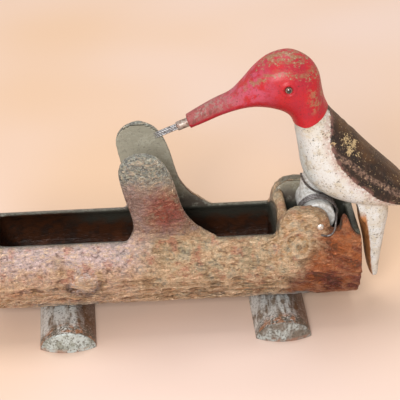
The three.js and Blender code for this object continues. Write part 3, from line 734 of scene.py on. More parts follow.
def bronze_finish(log):
    """Old bronzed casting: golden to pink bark, red-brown hinge end, verdigris on the stubs
    and rims, dirt in the pits, lighter rubbed bark that also carries a painted highlight, a
    painted shadow under the front knot, and a very dark trough inside."""
    f = Finish("bronze_patina", metallic=0.25)
    here = f.millimetres()
    x, _, z = f.split(here)
    relief, outside, hollow = (f.attribute(name) for name in ("relief", "outside", "hollow"))
    rim = f.attribute("rim")
    broad = f.noise(here, 17, 3)
    blotch = f.noise(here, 6, 4, 0.6)
    fine = f.noise(here, 1.9, 4, 0.7)
    speck = f.noise(here, 1.0, 2, 0.6)
    grain = f.noise(f.millimetres((8, 1, 1)), 2.0, 4, 0.62, 0.9)
    shift = float(SHIFT[0])

    low = f.step(z + (broad - 0.5) * 14, 38, 25)
    zone = x - z * 0.62 + (broad - 0.5) * 20 + (blotch - 0.5) * 14 + (fine - 0.5) * 6
    right = f.step(zone, 38 + shift, 56 + shift)
    left = f.step(x + (broad - 0.5) * 24, 0 + shift, -30 + shift)
    colour = f.layers(
        log.bronze,
        ((0.60, 0.46, 0.29), f.step(blotch, 0.42, 0.58)),
        ((0.34, 0.30, 0.19), f.step(f.noise(here, 9, 3), 0.50, 0.60) * 0.6 * (1 - left)),
        (log.copper, left * 0.85 * f.step(blotch, 0.34, 0.55)),
        ((0.66, 0.53, 0.55), left * f.step(z + (blotch - 0.5) * 14, 35, 45) * 0.7),
        ((0.70, 0.38, 0.20), low * f.step(grain, 0.46, 0.58) * 0.75),
        ((0.30, 0.15, 0.06), low * f.step(grain, 0.47, 0.38) * 0.8),
        ((0.36, 0.20, 0.09), f.step(broad, 0.50, 0.62) * 0.5),
        ((0.52, 0.19, 0.13), f.step(f.noise(here, 7, 3), 0.53, 0.64) * 0.55 * (1 - low * 0.5)),
    )
    ear = f.near(x, z, (66.0 + shift, 51), 15, 0.45) * outside
    colour = f.layers(
        colour,
        ((0.50, 0.29, 0.13), ear * f.step(blotch, 0.58, 0.42) * 0.75),
        ((0.70, 0.56, 0.38), ear * f.step(relief + (fine - 0.5) * 0.8, 0.1, 0.5) * 0.6),
    )
    redness = f.mix(log.rust, (0.40, 0.115, 0.032), f.step(blotch, 0.42, 0.58))
    purple = f.step(z + (broad - 0.5) * 16, 40, 28) * f.step(broad + (grain - 0.5) * 0.5, 0.40, 0.60)
    redness = f.layers(
        redness,
        ((0.17, 0.035, 0.032), purple * 0.75),
        ((0.17, 0.05, 0.025), f.step(grain, 0.52, 0.66) * 0.35),
        ((0.50, 0.19, 0.07), f.step(relief + (fine - 0.5) * 0.8, 0.2, 0.7) * 0.4),
    )
    colour = f.mix(colour, redness, right)
    height = f.step(z + (broad - 0.5) * 12 + (fine - 0.5) * 10, 76, 92)
    bloom = f.step(blotch + (fine - 0.5) * 0.6, 0.54, 0.66)
    green = f.layers(
        log.verdigris,
        ((0.15, 0.18, 0.18), f.step(fine, 0.42, 0.56)),
        ((0.52, 0.56, 0.50), f.step(speck, 0.53, 0.60) * 0.75),
    )
    colour = f.layers(
        colour,
        (green, height * 0.92),
        (green, bloom * 0.35 * (1 - right)),
    )
    stem = f.step(z + (blotch - 0.5) * 16, 52, 60) * (1 - height) * f.step(x, 30 + shift, 20 + shift)
    colour = f.layers(
        colour,
        ((0.17, 0.085, 0.062), stem * 0.72),
        ((0.33, 0.23, 0.22), stem * f.step(blotch, 0.50, 0.60) * 0.55),
    )
    patch = f.near(x, z, (-2.0 + shift, 71), 10.5, 0.6) * f.step(blotch, 0.36, 0.50) * outside
    colour = f.mix(colour, (0.26, 0.045, 0.025), patch * 0.85)
    for centre in FEET.values():
        near = f.step(x - (centre + shift), -20, -13) * f.step(x - (centre + shift), 20, 13)
        smear = near * f.step(z + (fine - 0.5) * 9, 18.5, 13)
        colour = f.mix(colour, (0.38, 0.38, 0.36), smear * 0.9)
    spot = (KNOT[0] + shift, KNOT[1])
    # Painted shadow: a dark curved band painted just below the front knot's lower half.
    knot_painted_shadow = f.near(x, z, spot, 9.4, 0.25) * (1 - f.near(x, z, spot, 7.4, 0.2))
    knot_painted_shadow = knot_painted_shadow * f.step(z, 34, 28) * outside
    colour = f.mix(colour, (0.07, 0.035, 0.02), knot_painted_shadow * 0.8)
    knot = f.near(x, z, spot, 7.5, 0.4) * outside
    colour = f.layers(
        colour,
        ((0.66, 0.56, 0.54), knot * f.step(fine, 0.42, 0.56) * 0.8),
        ((0.34, 0.16, 0.07), knot * f.near(x, z, (-44.0 + shift, 31), 4, 0.6) * 0.5),
    )
    wear = f.noise(f.millimetres((1.9, 1, 1)), 1.6, 4, 0.66, 0.9)
    worn = wear + relief * 0.11
    # Lighter rubbed bark: polished metal wear on the high relief, together with a painted highlight.
    ridge_wear_and_highlight = f.step(worn, 0.48, 0.66)
    rubbed = ridge_wear_and_highlight * 0.74 * (1 - right * 0.85) * (1 - stem * 0.75) * (1 - height * 0.5) * outside
    colour = f.mix(colour, (0.86, 0.63, 0.42), rubbed)
    dirt = f.step(worn, 0.46, 0.34)
    colour = f.mix(colour, (0.085, 0.040, 0.018), dirt * 0.62 * outside)
    pits = f.step(speck + (fine - 0.5) * 0.7, 0.57, 0.64)
    colour = f.mix(colour, (0.12, 0.10, 0.09), pits * 0.28 * outside * (1 - right * 0.7))
    # Trough inside: very dark brown, greyer high on the left, with reddish patches low down.
    inside = f.layers(
        (0.050, 0.017, 0.007),
        ((0.022, 0.010, 0.006), f.step(blotch, 0.4, 0.65)),
        (
            (0.055, 0.060, 0.048),
            f.step(z + (blotch - 0.5) * 7, 37, 47) * 0.85 * f.step(x, -60 + shift, -30 + shift),
        ),
        ((0.17, 0.05, 0.016), f.step(f.noise(here, 8, 2), 0.53, 0.66) * 0.5 * f.step(z, 38, 24)),
    )
    plain = f.layers(
        (0.33, 0.30, 0.23),
        ((0.24, 0.21, 0.15), f.step(blotch, 0.42, 0.6)),
        ((0.31, 0.31, 0.25), f.step(z + (blotch - 0.5) * 20, 66, 84) * 0.8),
        ((0.07, 0.055, 0.045), f.step(z + (blotch - 0.5) * 8, 66, 54) * 0.9),
        ((0.46, 0.46, 0.38), f.step(fine + (blotch - 0.5) * 0.8, 0.50, 0.62) * 0.4),
        ((0.12, 0.11, 0.09), f.step(fine, 0.54, 0.64) * 0.55),
    )
    colour = f.layers(
        plain,
        (colour, outside),
        (inside, hollow),
    )
    edge = f.mix((0.085, 0.088, 0.066), (0.17, 0.17, 0.14), f.step(fine, 0.45, 0.62))
    colour = f.mix(colour, edge, rim * 0.85)
    f.set(Base_Color=colour)
    rough = 0.22 + 0.18 * blotch + 0.22 * dirt + 0.10 * bloom
    f.set(Roughness=rough, Metallic=0.15 + 0.3 * ridge_wear_and_highlight * outside)
    folds = 1 - f.node("Math", {"operation": "ABSOLUTE"}, {0: (grain - 0.5) * 5})
    marks = (0.8 * folds * low + 1.6 * wear + 0.5 * speck) * (0.10 + 0.90 * outside)
    f.bump(marks, 1.8, 1.0)
    return f.material


# ------------------------------------------------------------------ feet
def foot_rings(centre):
    """Log slice laid flat side down: D-shaped rings carried along y. The top is the lower of
    the bar's arc and the saddle under the log, and the ends bulge by an arc of the plan;
    rings that shrink to the middle close each end."""
    radius = (FOOT_HALF**2 + FOOT_HEIGHT**2) / (2 * FOOT_HEIGHT)
    sink = radius - FOOT_HEIGHT
    edge = math.asin(sink / radius)
    angle = np.linspace(edge, math.pi - edge, 47)
    top = np.stack([radius * np.cos(angle), radius * np.sin(angle) - sink], 1)
    bottom = np.stack([np.linspace(-FOOT_HALF, FOOT_HALF, 49)[1:-1], np.zeros(47)], 1)
    loop = np.vstack([top, bottom])
    middle = np.array([0, 4.6])
    bulge_radius = (FOOT_HALF**2 + FOOT_BULGE**2) / (2 * FOOT_BULGE)
    steps = [(-1, s, 0) for s in (0.05, 0.25, 0.5, 0.7, 0.84, 0.93, 0.965)]
    steps += [(-1, 0.988, 0.12), (-1, 1.0, 0.5)]
    steps += [(t, 1.0, 0) for t in np.linspace(-0.97, 0.97, 90)]
    steps += [(1, 1.0, 0.5), (1, 0.988, 0.12)]
    steps += [(1, s, 0) for s in (0.965, 0.93, 0.84, 0.7, 0.5, 0.25, 0.05)]
    rings = []
    for share, scale, back in steps:
        flat = middle + (loop - middle) * scale
        reach = FOOT_REACH + FOOT_BULGE - bulge_radius + np.sqrt(bulge_radius**2 - flat[:, 0] ** 2)
        y = share * (reach - back)
        under = np.minimum(np.abs(y), SADDLE_RADIUS - 0.1)
        saddle = AXIS_Z - np.sqrt(np.maximum(SADDLE_RADIUS**2 - under**2, 0))
        z = np.where(np.abs(y) < SADDLE_RADIUS, np.minimum(flat[:, 1], saddle), flat[:, 1])
        rings.append(np.stack([centre + flat[:, 0], y, z], 1))
    return rings


def build_feet():
    """The two cross feet, with shallow grain along their tops."""
    material = pewter_finish()
    for side, centre in FEET.items():
        points, faces = skin(foot_rings(centre))
        normals = normals_of(points, faces)
        x, y, z = points.T
        groove = grainy(np.stack([(x - centre) / 2.6, y / 14, z * 0 + 3], 1), 21, 2)
        height = 0.22 * groove + 0.14 * grainy(points / 3.0, 23, 3)
        height = height * ramp(z, 0.3, 2.0) * ramp(np.abs(y), 14, 16) - 0.1
        points = kept_in(points + normals * height[:, None], f"{side}_cross_foot")
        node = f"{side}_cross_foot"
        made = piece(f"{side}_foot_pewter", points, faces, material, "base", node)
        plan = np.abs(y) - FOOT_REACH - FOOT_BULGE * (1 - ((x - centre) / FOOT_HALF) ** 2)
        store(made, face=ramp(plan, -0.9, -0.35), along=x - centre)


def pewter_finish():
    """Grey cast metal: vertical streaks, black spots, brown stains, pale flecks, and painted
    shade on the right half of each foot's top.
    """
    f = Finish("grey_casting", metallic=0.45)
    here = f.millimetres()
    x, y, z = f.split(here)
    face, along = f.attribute("face"), f.attribute("along")
    shift = float(SHIFT[0])
    streak = f.noise(f.millimetres((1, 5, 5)), 2.6, 3, 0.55)
    blotch = f.noise(here, 5.5, 4, 0.6)
    fine = f.noise(here, 1.2, 4, 0.7)
    colour = f.layers(
        (0.72, 0.74, 0.73),
        ((0.46, 0.44, 0.41), f.step(streak, 0.44, 0.56)),
        ((0.22, 0.16, 0.11), f.step(streak + (blotch - 0.5) * 0.6, 0.54, 0.64) * 0.85),
    )
    # Painted shade: the right half of each foot's top is painted dark brown.
    shade = f.step(along + (blotch - 0.5) * 9, 3, 9)
    colour = f.mix(colour, (0.17, 0.075, 0.03), shade * (1 - face) * 0.9)
    near_end = f.step(y + (blotch - 0.5) * 10, -28, -35)
    colour = f.layers(
        colour,
        ((0.13, 0.11, 0.08), near_end * f.step(fine, 0.40, 0.54) * (1 - face) * 0.9),
        ((0.50, 0.22, 0.10), near_end * f.step(blotch, 0.49, 0.58) * (1 - face) * 0.7),
        ((0.045, 0.04, 0.03), f.step(fine, 0.55, 0.62) * 0.8),
        ((0.80, 0.80, 0.78), f.step(fine, 0.42, 0.35) * 0.5),
    )
    other = f.step(x, -10 + shift, 10 + shift)
    cast = f.layers(
        (0.50, 0.57, 0.56),
        ((0.30, 0.33, 0.29), f.step(blotch, 0.44, 0.6)),
        ((0.16, 0.12, 0.09), other * f.step(blotch, 0.28, 0.56) * 0.8),
        ((0.10, 0.09, 0.07), f.step(fine, 0.51, 0.59) * 0.8),
        ((0.42, 0.22, 0.15), f.step(z, 3.0, 0.6) * f.step(blotch, 0.4, 0.6) * 0.7),
    )
    colour = f.mix(colour, cast, face)
    f.set(Base_Color=colour, Roughness=0.36 + 0.3 * fine)
    f.bump(fine + 0.8 * streak, 0.4, 0.9)
    return f.material


# ------------------------------------------------------------------ bird casting
def bird_skins():
    """Body with head and beak, tail, leg and hub as closed skins. The body is a stack of tilted
    ellipses, half height along the section's up direction and half width across it; the tail
    is a half-round blade with a dished inner face, and the hub a tube round the pin."""
    rows = curve_through(BIRD_ROWS, 4)
    turn = np.linspace(0, 2 * math.pi, 48, endpoint=False)
    x, z, tilt, high, wide = rows.T
    tilt = np.radians(tilt)
    up = np.stack([np.sin(tilt), np.zeros_like(tilt), np.cos(tilt)], 1)
    spine = np.stack([x, np.zeros_like(x), z], 1)
    rings = spine[:, None] + up[:, None] * (high[:, None] * np.cos(turn))[..., None]
    rings[..., 1] += wide[:, None] * np.sin(turn)
    body = skin(rings)

    rows = curve_through(TAIL_ROWS, 4)
    angle = np.linspace(-math.pi / 2, math.pi / 2, 21)
    rings = []
    for z, inner, outer, wide in rows:
        swell = 0.24 * (outer - inner) * ramp(z, 56, 48)
        back = inner + (outer - inner) * (0.42 + 0.58 * np.cos(angle) ** 0.8)
        y = wide * np.sin(angle) * 0.999
        front = inner + swell * (y[::-1] / wide) ** 2
        rings.append(np.vstack([
            np.stack([back, y, np.full(21, z)], 1), np.stack([front, y[::-1], np.full(21, z)], 1)]))
    tail = skin(rings)

    rows = curve_through(LEG_ROWS, 4)
    angle = np.linspace(0, 2 * math.pi, 32, endpoint=False)
    squared = np.sign(np.sin(angle)) * np.abs(np.sin(angle)) ** 0.6
    leg = skin([
        np.stack([
            PIVOT_X + (left + right) / 2 + (right - left) / 2 * np.cos(angle),
            3.05 + 4.45 * squared, np.full(32, PIVOT_Z + z),
        ], 1)
        for left, z, right in rows
    ])

    section = [
        (BORE_RADIUS, -HUB_HALF), (HUB_RADIUS - 0.7, -HUB_HALF), (HUB_RADIUS, -HUB_HALF + 0.7),
        (HUB_RADIUS, HUB_HALF - 0.7), (HUB_RADIUS - 0.7, HUB_HALF), (BORE_RADIUS, HUB_HALF),
    ]
    angle = np.linspace(0, 2 * math.pi, 64, endpoint=False)
    radius, level = np.array(section).T
    ring = np.stack([
        PIVOT_X + radius[:, None] * np.cos(angle), np.broadcast_to(level[:, None], (6, 64)),
        PIVOT_Z + radius[:, None] * np.sin(angle),
    ], 2)
    grid = np.arange(6 * 64).reshape(6, 64)
    nxt, beside = np.roll(grid, -1, 0), np.roll(grid, -1, 1)
    hub = (ring.reshape(-1, 3), np.stack([grid, nxt, np.roll(nxt, -1, 1), beside], 2).reshape(-1, 4))
    return [body, tail, leg, hub]


def bird_relief(points, bird):
    """Height along the normals: folded wings stand proud of the body at their edge line, the
    hood's rim is a soft step, feathers are shallow grooves that follow the wing's edge, and
    a raised lid rings each eye."""
    x, y, z = points.T
    wing = side_of(points, WING_LINE)
    hood = side_of(points, HOOD_LINE)
    on_body = ramp(x + z, 150, 158)
    lumps = grainy(points / 7.0, 31, 3)
    height = bird.wing_height * 1000 * (ramp(wing, -0.5, 0.7) - 0.5)
    height = height * ramp(hood, 0.5, -1.5) * on_body * ramp(np.abs(y), 3, 6)
    feathers = np.sin(wing * 1.5 + 0.8 * lumps) * ramp(wing, 1.5, 4) * ramp(x, 84, 96)
    height += 0.16 * feathers * ramp(hood, 0, -4)
    height += 0.28 * (ramp(hood, -0.7, 0.5) - 0.5) * ramp(hood, 9, 2)
    height += 0.10 * lumps
    lid = np.hypot(x - EYE[0], z - EYE[2])
    side = np.abs(y) > 6
    height += np.where(side, 0.55 * hump(lid - 3.1, 0.8) - 0.7 * ramp(lid, 2.5, 2.0), 0)
    return height, wing, hood


def build_bird():
    """The bird: its skins are fused and smoothed, relief is raised away from the hinge and the
    tail's seat, and the body is pushed back from the coil's room round the hub."""
    bird = bpy.context.scene.woodpecker_bird
    points, faces = fused(bird_skins(), 0.55)
    points = relaxed(points, faces, 5)
    normals = normals_of(points, faces)
    x, y, z = points.T
    height, wing, hood = bird_relief(points, bird)
    fitting = np.maximum(
        ramp(np.hypot(x - PIVOT_X, z - PIVOT_Z), 11.5, 9.8), ramp(z, 60, 52) * ramp(x, 92, 96))
    height = height * (1 - fitting)
    points = points + normals * height[:, None]
    gap = np.hypot(x - PIVOT_X, z - PIVOT_Z)
    room = (y > -10.6) & (y < -3.0) & (gap < 11.8) & (gap > 9.3)
    push = np.where(room, 11.8 / np.maximum(gap, 1), 1.0)
    points[:, 0] = np.where(room, PIVOT_X + (x - PIVOT_X) * push, points[:, 0])
    points = kept_in(points, "bird_casting")
    made = piece("bird_paint", points, faces, paint_finish(bird), "bird", "bird_casting")
    # Tail's inner side: unpainted brown metal, with the brown also laid onto the near edge up to TAIL_LINE
    # as painted shade and reflection of the log.
    tail = ramp(z, 60, 54) * ramp(x, 95, 97) * ramp(normals[:, 0], -0.2, -0.6)
    tail = np.maximum(tail, ramp(z, 60, 54) * ramp(x, 95, 97) * ramp(side_of(points, TAIL_LINE), 0.4, -0.4))
    leg = ramp(gap, 27, 24) * ramp(x + z, 152, 146) * ramp(x, 96, 92)
    store(
        made, wing=wing, hood=hood, bare=tail, leg=leg, crown=normals[:, 2], below=-normals[:, 2],
        streak=side_of(points, STREAK_LINE),
    )


def paint_finish(bird):
    """Old enamel: red head, white breast and tail, black back and wings. The borders wander
    a little, chips show undercoat and metal, and the crown is rubbed brown. Shade is painted
    in as well: darker red where faces point down, a blue-grey cast on the lower left of the
    white, and brown on the tail's inner side, which is partly unpainted metal and partly
    painted shade and reflection of the log."""
    f = Finish("bird_paint")
    here = f.millimetres()
    x, _, z = f.split(here)
    wing, hood, bare, leg, crown, below = (
        f.attribute(name) for name in ("wing", "hood", "bare", "leg", "crown", "below"))
    shift = float(SHIFT[0])
    broad = f.noise(here, 14, 3)
    blotch = f.noise(here, 5, 4, 0.6)
    fine = f.noise(here, 1.5, 4, 0.65)
    speck = f.noise(here, 0.8, 2, 0.6)
    stroke = f.noise(f.millimetres((1.4, 1.4, 3.5)), 1.2, 3, 0.6)

    red = f.mix(bird.red, (0.38, 0.014, 0.030), f.step(broad, 0.42, 0.6))
    lilac = f.near(x, z, (38.0 + shift, 131), 14, 0.6) * f.step(blotch, 0.40, 0.58)
    red = f.layers(
        red,
        ((0.48, 0.10, 0.17), lilac * 0.65),
        # painted shade: red faces that point down are painted darker
        ((0.30, 0.008, 0.014), f.step(below, 0.15, 0.75) * 0.6),
    )
    ahead = x + (blotch - 0.5) * 14
    faded = f.step(ahead, 44 + shift, 18 + shift) * f.step(below + (fine - 0.5) * 0.5, 0.42, 0.05)
    red = f.layers(
        red,
        ((0.29, 0.085, 0.085), faded * 0.85),
        ((0.28, 0.20, 0.17), faded * f.step(fine + (blotch - 0.5) * 0.8, 0.48, 0.60) * 0.75),
        ((0.17, 0.05, 0.045), faded * f.step(stroke, 0.54, 0.62) * 0.7),
    )
    tip = f.near(x, z, (-2.5 + shift, 112.5), 6, 0.5) * f.step(blotch, 0.36, 0.5)
    red = f.mix(red, (0.58, 0.33, 0.24), tip * 0.8)
    crest = crown + (broad - 0.5) * 0.4 + (fine - 0.5) * 0.5
    ring = f.step(crest, 0.34, 0.46) * f.step(crest, 0.64, 0.52) * 0.85 + f.step(crest, 0.70, 0.84)
    band = f.step(f.noise(f.millimetres((4.5, 2, 1)), 1.7, 4, 0.65, 0.5) + (fine - 0.5) * 0.6, 0.40, 0.56)
    rubbed = ring * f.step(ahead, 30 + shift, 46 + shift) * f.step(z, 126, 134)
    red = f.layers(
        red,
        ((0.25, 0.13, 0.06), rubbed * band * 0.85),
        ((0.40, 0.28, 0.18), rubbed * band * f.step(fine, 0.52, 0.62) * 0.6),
    )
    nape = f.step(x + (broad - 0.5) * 6, 68 + shift, 75 + shift) * f.step(z, 116, 122)
    red = f.layers(
        red,
        ((0.36, 0.20, 0.10), nape * f.step(fine + (blotch - 0.5) * 0.9, 0.52, 0.62) * 0.75),
        ((0.12, 0.02, 0.02), f.step(speck + (fine - 0.5) * 0.4, 0.60, 0.68) * 0.6),
    )

    white = f.layers(
        bird.white,
        ((0.52, 0.46, 0.34), f.step(blotch, 0.46, 0.60) * 0.6),
        ((0.66, 0.68, 0.68), f.step(broad + (fine - 0.5) * 0.6, 0.48, 0.58) * 0.7),
    )
    # Painted shade: the lower left of the white is painted blue-grey.
    painted_blue_shade = f.step(x + z * 0.35 + (blotch - 0.5) * 6, 107 + shift, 98 + shift)
    white = f.mix(white, (0.40, 0.50, 0.53), painted_blue_shade * 0.55)
    near_wing = f.step(wing + (blotch - 0.5) * 6, -6.0, -1.0) * f.step(hood, 0, -2)
    white = f.layers(
        white,
        ((0.46, 0.32, 0.28), near_wing * f.step(fine, 0.40, 0.54) * 0.75),
        ((0.30, 0.24, 0.17), f.step(fine + (blotch - 0.5) * 0.7, 0.58, 0.66) * bird.wear * 1.3),
        ((0.05, 0.04, 0.03), f.step(speck + (blotch - 0.5) * 0.3, 0.62, 0.68) * 0.85),
    )

    black = f.mix(bird.black, (0.032, 0.018, 0.012), f.step(blotch, 0.42, 0.6))
    back = f.step(crown + (broad - 0.5) * 0.7, 0.42, 0.80)
    black = f.layers(
        black,
        ((0.13, 0.062, 0.024), back * 0.8),
        ((0.07, 0.042, 0.03), f.step(stroke, 0.52, 0.64) * 0.6),
    )
    trail = f.attribute("streak") + (blotch - 0.5) * 2.2
    streak = f.step(trail, -2.0, -0.9) * f.step(trail, 1.9, 0.9) * f.step(x, 83 + shift, 88 + shift)
    black = f.mix(black, (0.24, 0.15, 0.11), streak * f.step(fine, 0.40, 0.60) * 0.8)
    worn = f.step(fine + (blotch - 0.5) * 0.55 + (broad - 0.5) * 0.3, 0.68, 0.73)
    black = f.layers(
        black,
        ((0.48, 0.36, 0.22), worn * bird.wear * 1.6),
        ((0.56, 0.48, 0.38), f.step(speck + (blotch - 0.5) * 0.4, 0.73, 0.77) * 0.8),
    )
    chips = 0
    for across, up, size in ((91.0, 101.5, 1.9), (93.4, 97.4, 1.7), (95.6, 98.9, 1.1), (92.1, 95.4, 1.0),
                             (83.8, 101.2, 1.0), (81.8, 113.0, 1.1), (97.0, 93.5, 0.8)):
        chips = chips + f.near(x, z, (across + shift, up), size * 1.3, 0.8)
    chips = f.step(chips * 0.13 + speck * 0.6 + fine * 0.4, 0.60, 0.64)
    black = f.layers(
        black,
        ((0.46, 0.34, 0.18), chips * 0.9),
        ((0.26, 0.13, 0.11), f.step(wing, 2.6, 0.4) * f.step(blotch, 0.46, 0.6) * 0.6),
    )

    edge = (fine - 0.5) * 1.6 + (blotch - 0.5) * 1.5
    colour = f.layers(
        white,
        (black, f.step(wing + edge, -0.35, 0.35)),
        (red, f.step(hood + edge * 0.35, -0.12, 0.12)),
        # tail's inner side: unpainted metal, with painted shade and reflection of the log
        (f.mix((0.44, 0.19, 0.07), (0.26, 0.10, 0.035), f.step(blotch, 0.4, 0.6)), bare),
    )
    metal = f.mix((0.62, 0.63, 0.62), (0.44, 0.43, 0.40), f.step(fine, 0.44, 0.60))
    colour = f.mix(colour, metal, leg)
    f.set(Base_Color=colour)
    f.set(Roughness=0.32 + 0.26 * fine, Metallic=0.1 * leg, Coat_Weight=0.2 * f.step(hood, -0.2, 0.2))
    f.shader.inputs["Coat Roughness"].default_value = 0.25
    f.shader.inputs["Specular IOR Level"].default_value = 0.25
    f.bump(fine + 0.5 * stroke - 0.8 * worn * f.step(wing, -0.3, 0.3), 0.45, 0.9)
    return f.material


# ------------------------------------------------------------------ small fittings
def steel_finish(name, light, dark, size=2.0, rough=0.3):
    """Dull old steel: fine bumps, tarnish in patches and small dark spots."""
    f = Finish(name, metallic=0.85)
    here = f.millimetres()
    tarnish = f.noise(here, size, 4, 0.6)
    fine = f.noise(here, size * 0.25, 3, 0.6)
    colour = f.layers(
        light,
        (dark, f.step(tarnish, 0.42, 0.64)),
        ((0.10, 0.06, 0.04), f.step(fine + (tarnish - 0.5) * 0.5, 0.60, 0.70) * 0.6),
    )
    f.set(Base_Color=colour, Roughness=rough + 0.3 * tarnish)
    f.bump(fine, 0.06, 0.6)
    return f.material


def build_pin():
    """Hinge pin: straight barrel with a domed head each end."""
    dome = [
        (PIN_RADIUS * math.cos(a), PIN_DOME * (1 - math.sin(a)))
        for a in np.linspace(math.pi / 2 - 0.05, 0, 9)
    ]
    barrel = [(PIN_RADIUS, d) for d in np.linspace(2, PIN_LENGTH - 2, 20)]
    profile = dome + barrel + [(radius, PIN_LENGTH - d) for radius, d in dome[::-1]]
    points, faces = turned(profile, np.array([PIVOT_X, -PIN_LENGTH / 2, PIVOT_Z]), (0, 1, 0), 40)
    steel = steel_finish("pin_steel", (0.82, 0.80, 0.77), (0.52, 0.47, 0.42), 1.6, 0.18)
    piece("hinge_pin_steel", kept_in(points, "pivot_pin"), faces, steel, "base", "pivot_pin")


def build_spring():
    """Torsion spring: hook under the pin's end, three turns round the hub, and an arm along
    the bird's neck, as one smooth path. The coil is (r cos a, y, r sin a) with y falling back
    as a grows."""
    angle = np.radians(np.linspace(23, 64 + 360 * COIL_TURNS, 58))
    y = np.linspace(COIL_FRONT, COIL_BACK, 58)
    coil = np.stack([COIL_RADIUS * np.cos(angle), y, COIL_RADIUS * np.sin(angle)], 1)
    arm = [[x, COIL_BACK, z] for x, z in SPRING_ARM]
    path = np.vstack([SPRING_HOOK, coil, arm]) + [PIVOT_X, 0, PIVOT_Z]
    points, faces = tube(curve_through(path, 5), WIRE_RADIUS, 12)
    steel = steel_finish("spring_steel", (0.19, 0.18, 0.18), (0.07, 0.055, 0.05), 1.2, 0.28)
    node = "torsion_spring"
    made = piece("torsion_spring_wire", kept_in(points, node), faces, steel, None, node)
    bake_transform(made)


def build_needles():
    """Needle plug and its four needles: bodies of revolution along the peck direction, the
    needles' points drawn out by (1 - t)^0.8."""
    tip = BEAK_END + PECK * PLUG_REACH
    plug_steel = steel_finish("plug_steel", (0.42, 0.36, 0.32), (0.26, 0.17, 0.14), 1.5, 0.4)
    needle_steel = steel_finish("needle_steel", (0.34, 0.34, 0.35), (0.12, 0.11, 0.11), 1.0, 0.25)
    barrel = [(PLUG_RADIUS, d) for d in np.linspace(0.1, 12.5, 20)]
    profile = [(0.05, 0)] + barrel + [(2.2, 12.85), (1.9, PLUG_LENGTH), (0.05, 12.9)]
    points, faces = turned(profile, tip - PECK * PLUG_LENGTH, PECK, 36)
    node = "needle_plug"
    piece("plug_steel_end", kept_in(points, node), faces, plug_steel, "bird", node)
    t = np.linspace(0, 1, 12)
    shank = [(0.04, 0)] + [(NEEDLE_RADIUS, d) for d in np.linspace(0.05, NEEDLE_SHANK, 12)]
    point = NEEDLE_RADIUS * (1 - t[1:]) ** 0.8 + 0.02
    profile = shank + list(zip(point, NEEDLE_SHANK + NEEDLE_POINT * t[1:]))
    for index in range(4):
        angle = 2 * math.pi * (index + 0.5) / 4
        across = np.array([0, NEEDLE_RING * math.sin(angle), 0])
        start = tip - PECK * 3 + LIFT * (NEEDLE_RING * math.cos(angle)) + across
        points, faces = turned(profile, start, PECK, 14)
        node = f"beak_needle_{index + 1}"
        name = f"needle_{index + 1}_steel"
        piece(name, kept_in(points, node), faces, needle_steel, "bird", node)


def build_eyes():
    """Glass bead eyes: a short barrel in the socket and a dome, r = R cos a, d = H sin a."""
    glass = eye_finish()
    for side, name in ((1, "left_eye"), (-1, "right_eye")):
        start = np.array([EYE[0], side * (EYE[1] - 1.85), EYE[2]])
        dome = [
            (EYE_RADIUS * math.cos(a), 1.6 + 2.0 * math.sin(a))
            for a in np.linspace(0, math.pi / 2 - 0.03, 14)
        ]
        barrel = [(0.05, 0.05), (1.9, 0.05), (EYE_RADIUS, 0.3)]
        points, faces = turned(barrel + dome, start, (0, side, 0), 40)
        piece(f"{name}_bead", kept_in(points, name), faces, glass, "bird", name)


def eye_finish():
    """Dark glass bead with a brown iris ring and a black pupil."""
    f = Finish("eye_glass", roughness=0.08)
    here = f.millimetres()
    x, _, z = f.split(here)
    across, up = x - float(EYE[0] + SHIFT[0]), z - float(EYE[2])
    distance = (across * across + up * up) ** 0.5
    cloud = f.noise(here, 0.9, 3)
    colour = f.layers(
        (0.10, 0.06, 0.04),
        ((0.26, 0.17, 0.12), f.step(cloud, 0.4, 0.6)),
        ((0.006, 0.005, 0.005), f.step(distance + (cloud - 0.5) * 0.3, 1.25, 0.95)),
        ((0.02, 0.012, 0.01), f.step(distance, 1.7, 1.95)),
    )
    f.set(Base_Color=colour, Roughness=0.06 + 0.12 * cloud)
    f.shader.inputs["Coat Weight"].default_value = 1.0
    f.shader.inputs["Coat Roughness"].default_value = 0.04
    return f.material


def finish_screws():
    """The foot screws keep their CAD shape and get worn slotted steel."""
    steel = steel_finish("screw_steel", (0.52, 0.49, 0.44), (0.25, 0.20, 0.16), 1.8, 0.38)
    for side in FEET:
        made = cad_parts[f"{side}_foot_screw"]
        made.data.materials.clear()
        made.data.materials.append(steel)


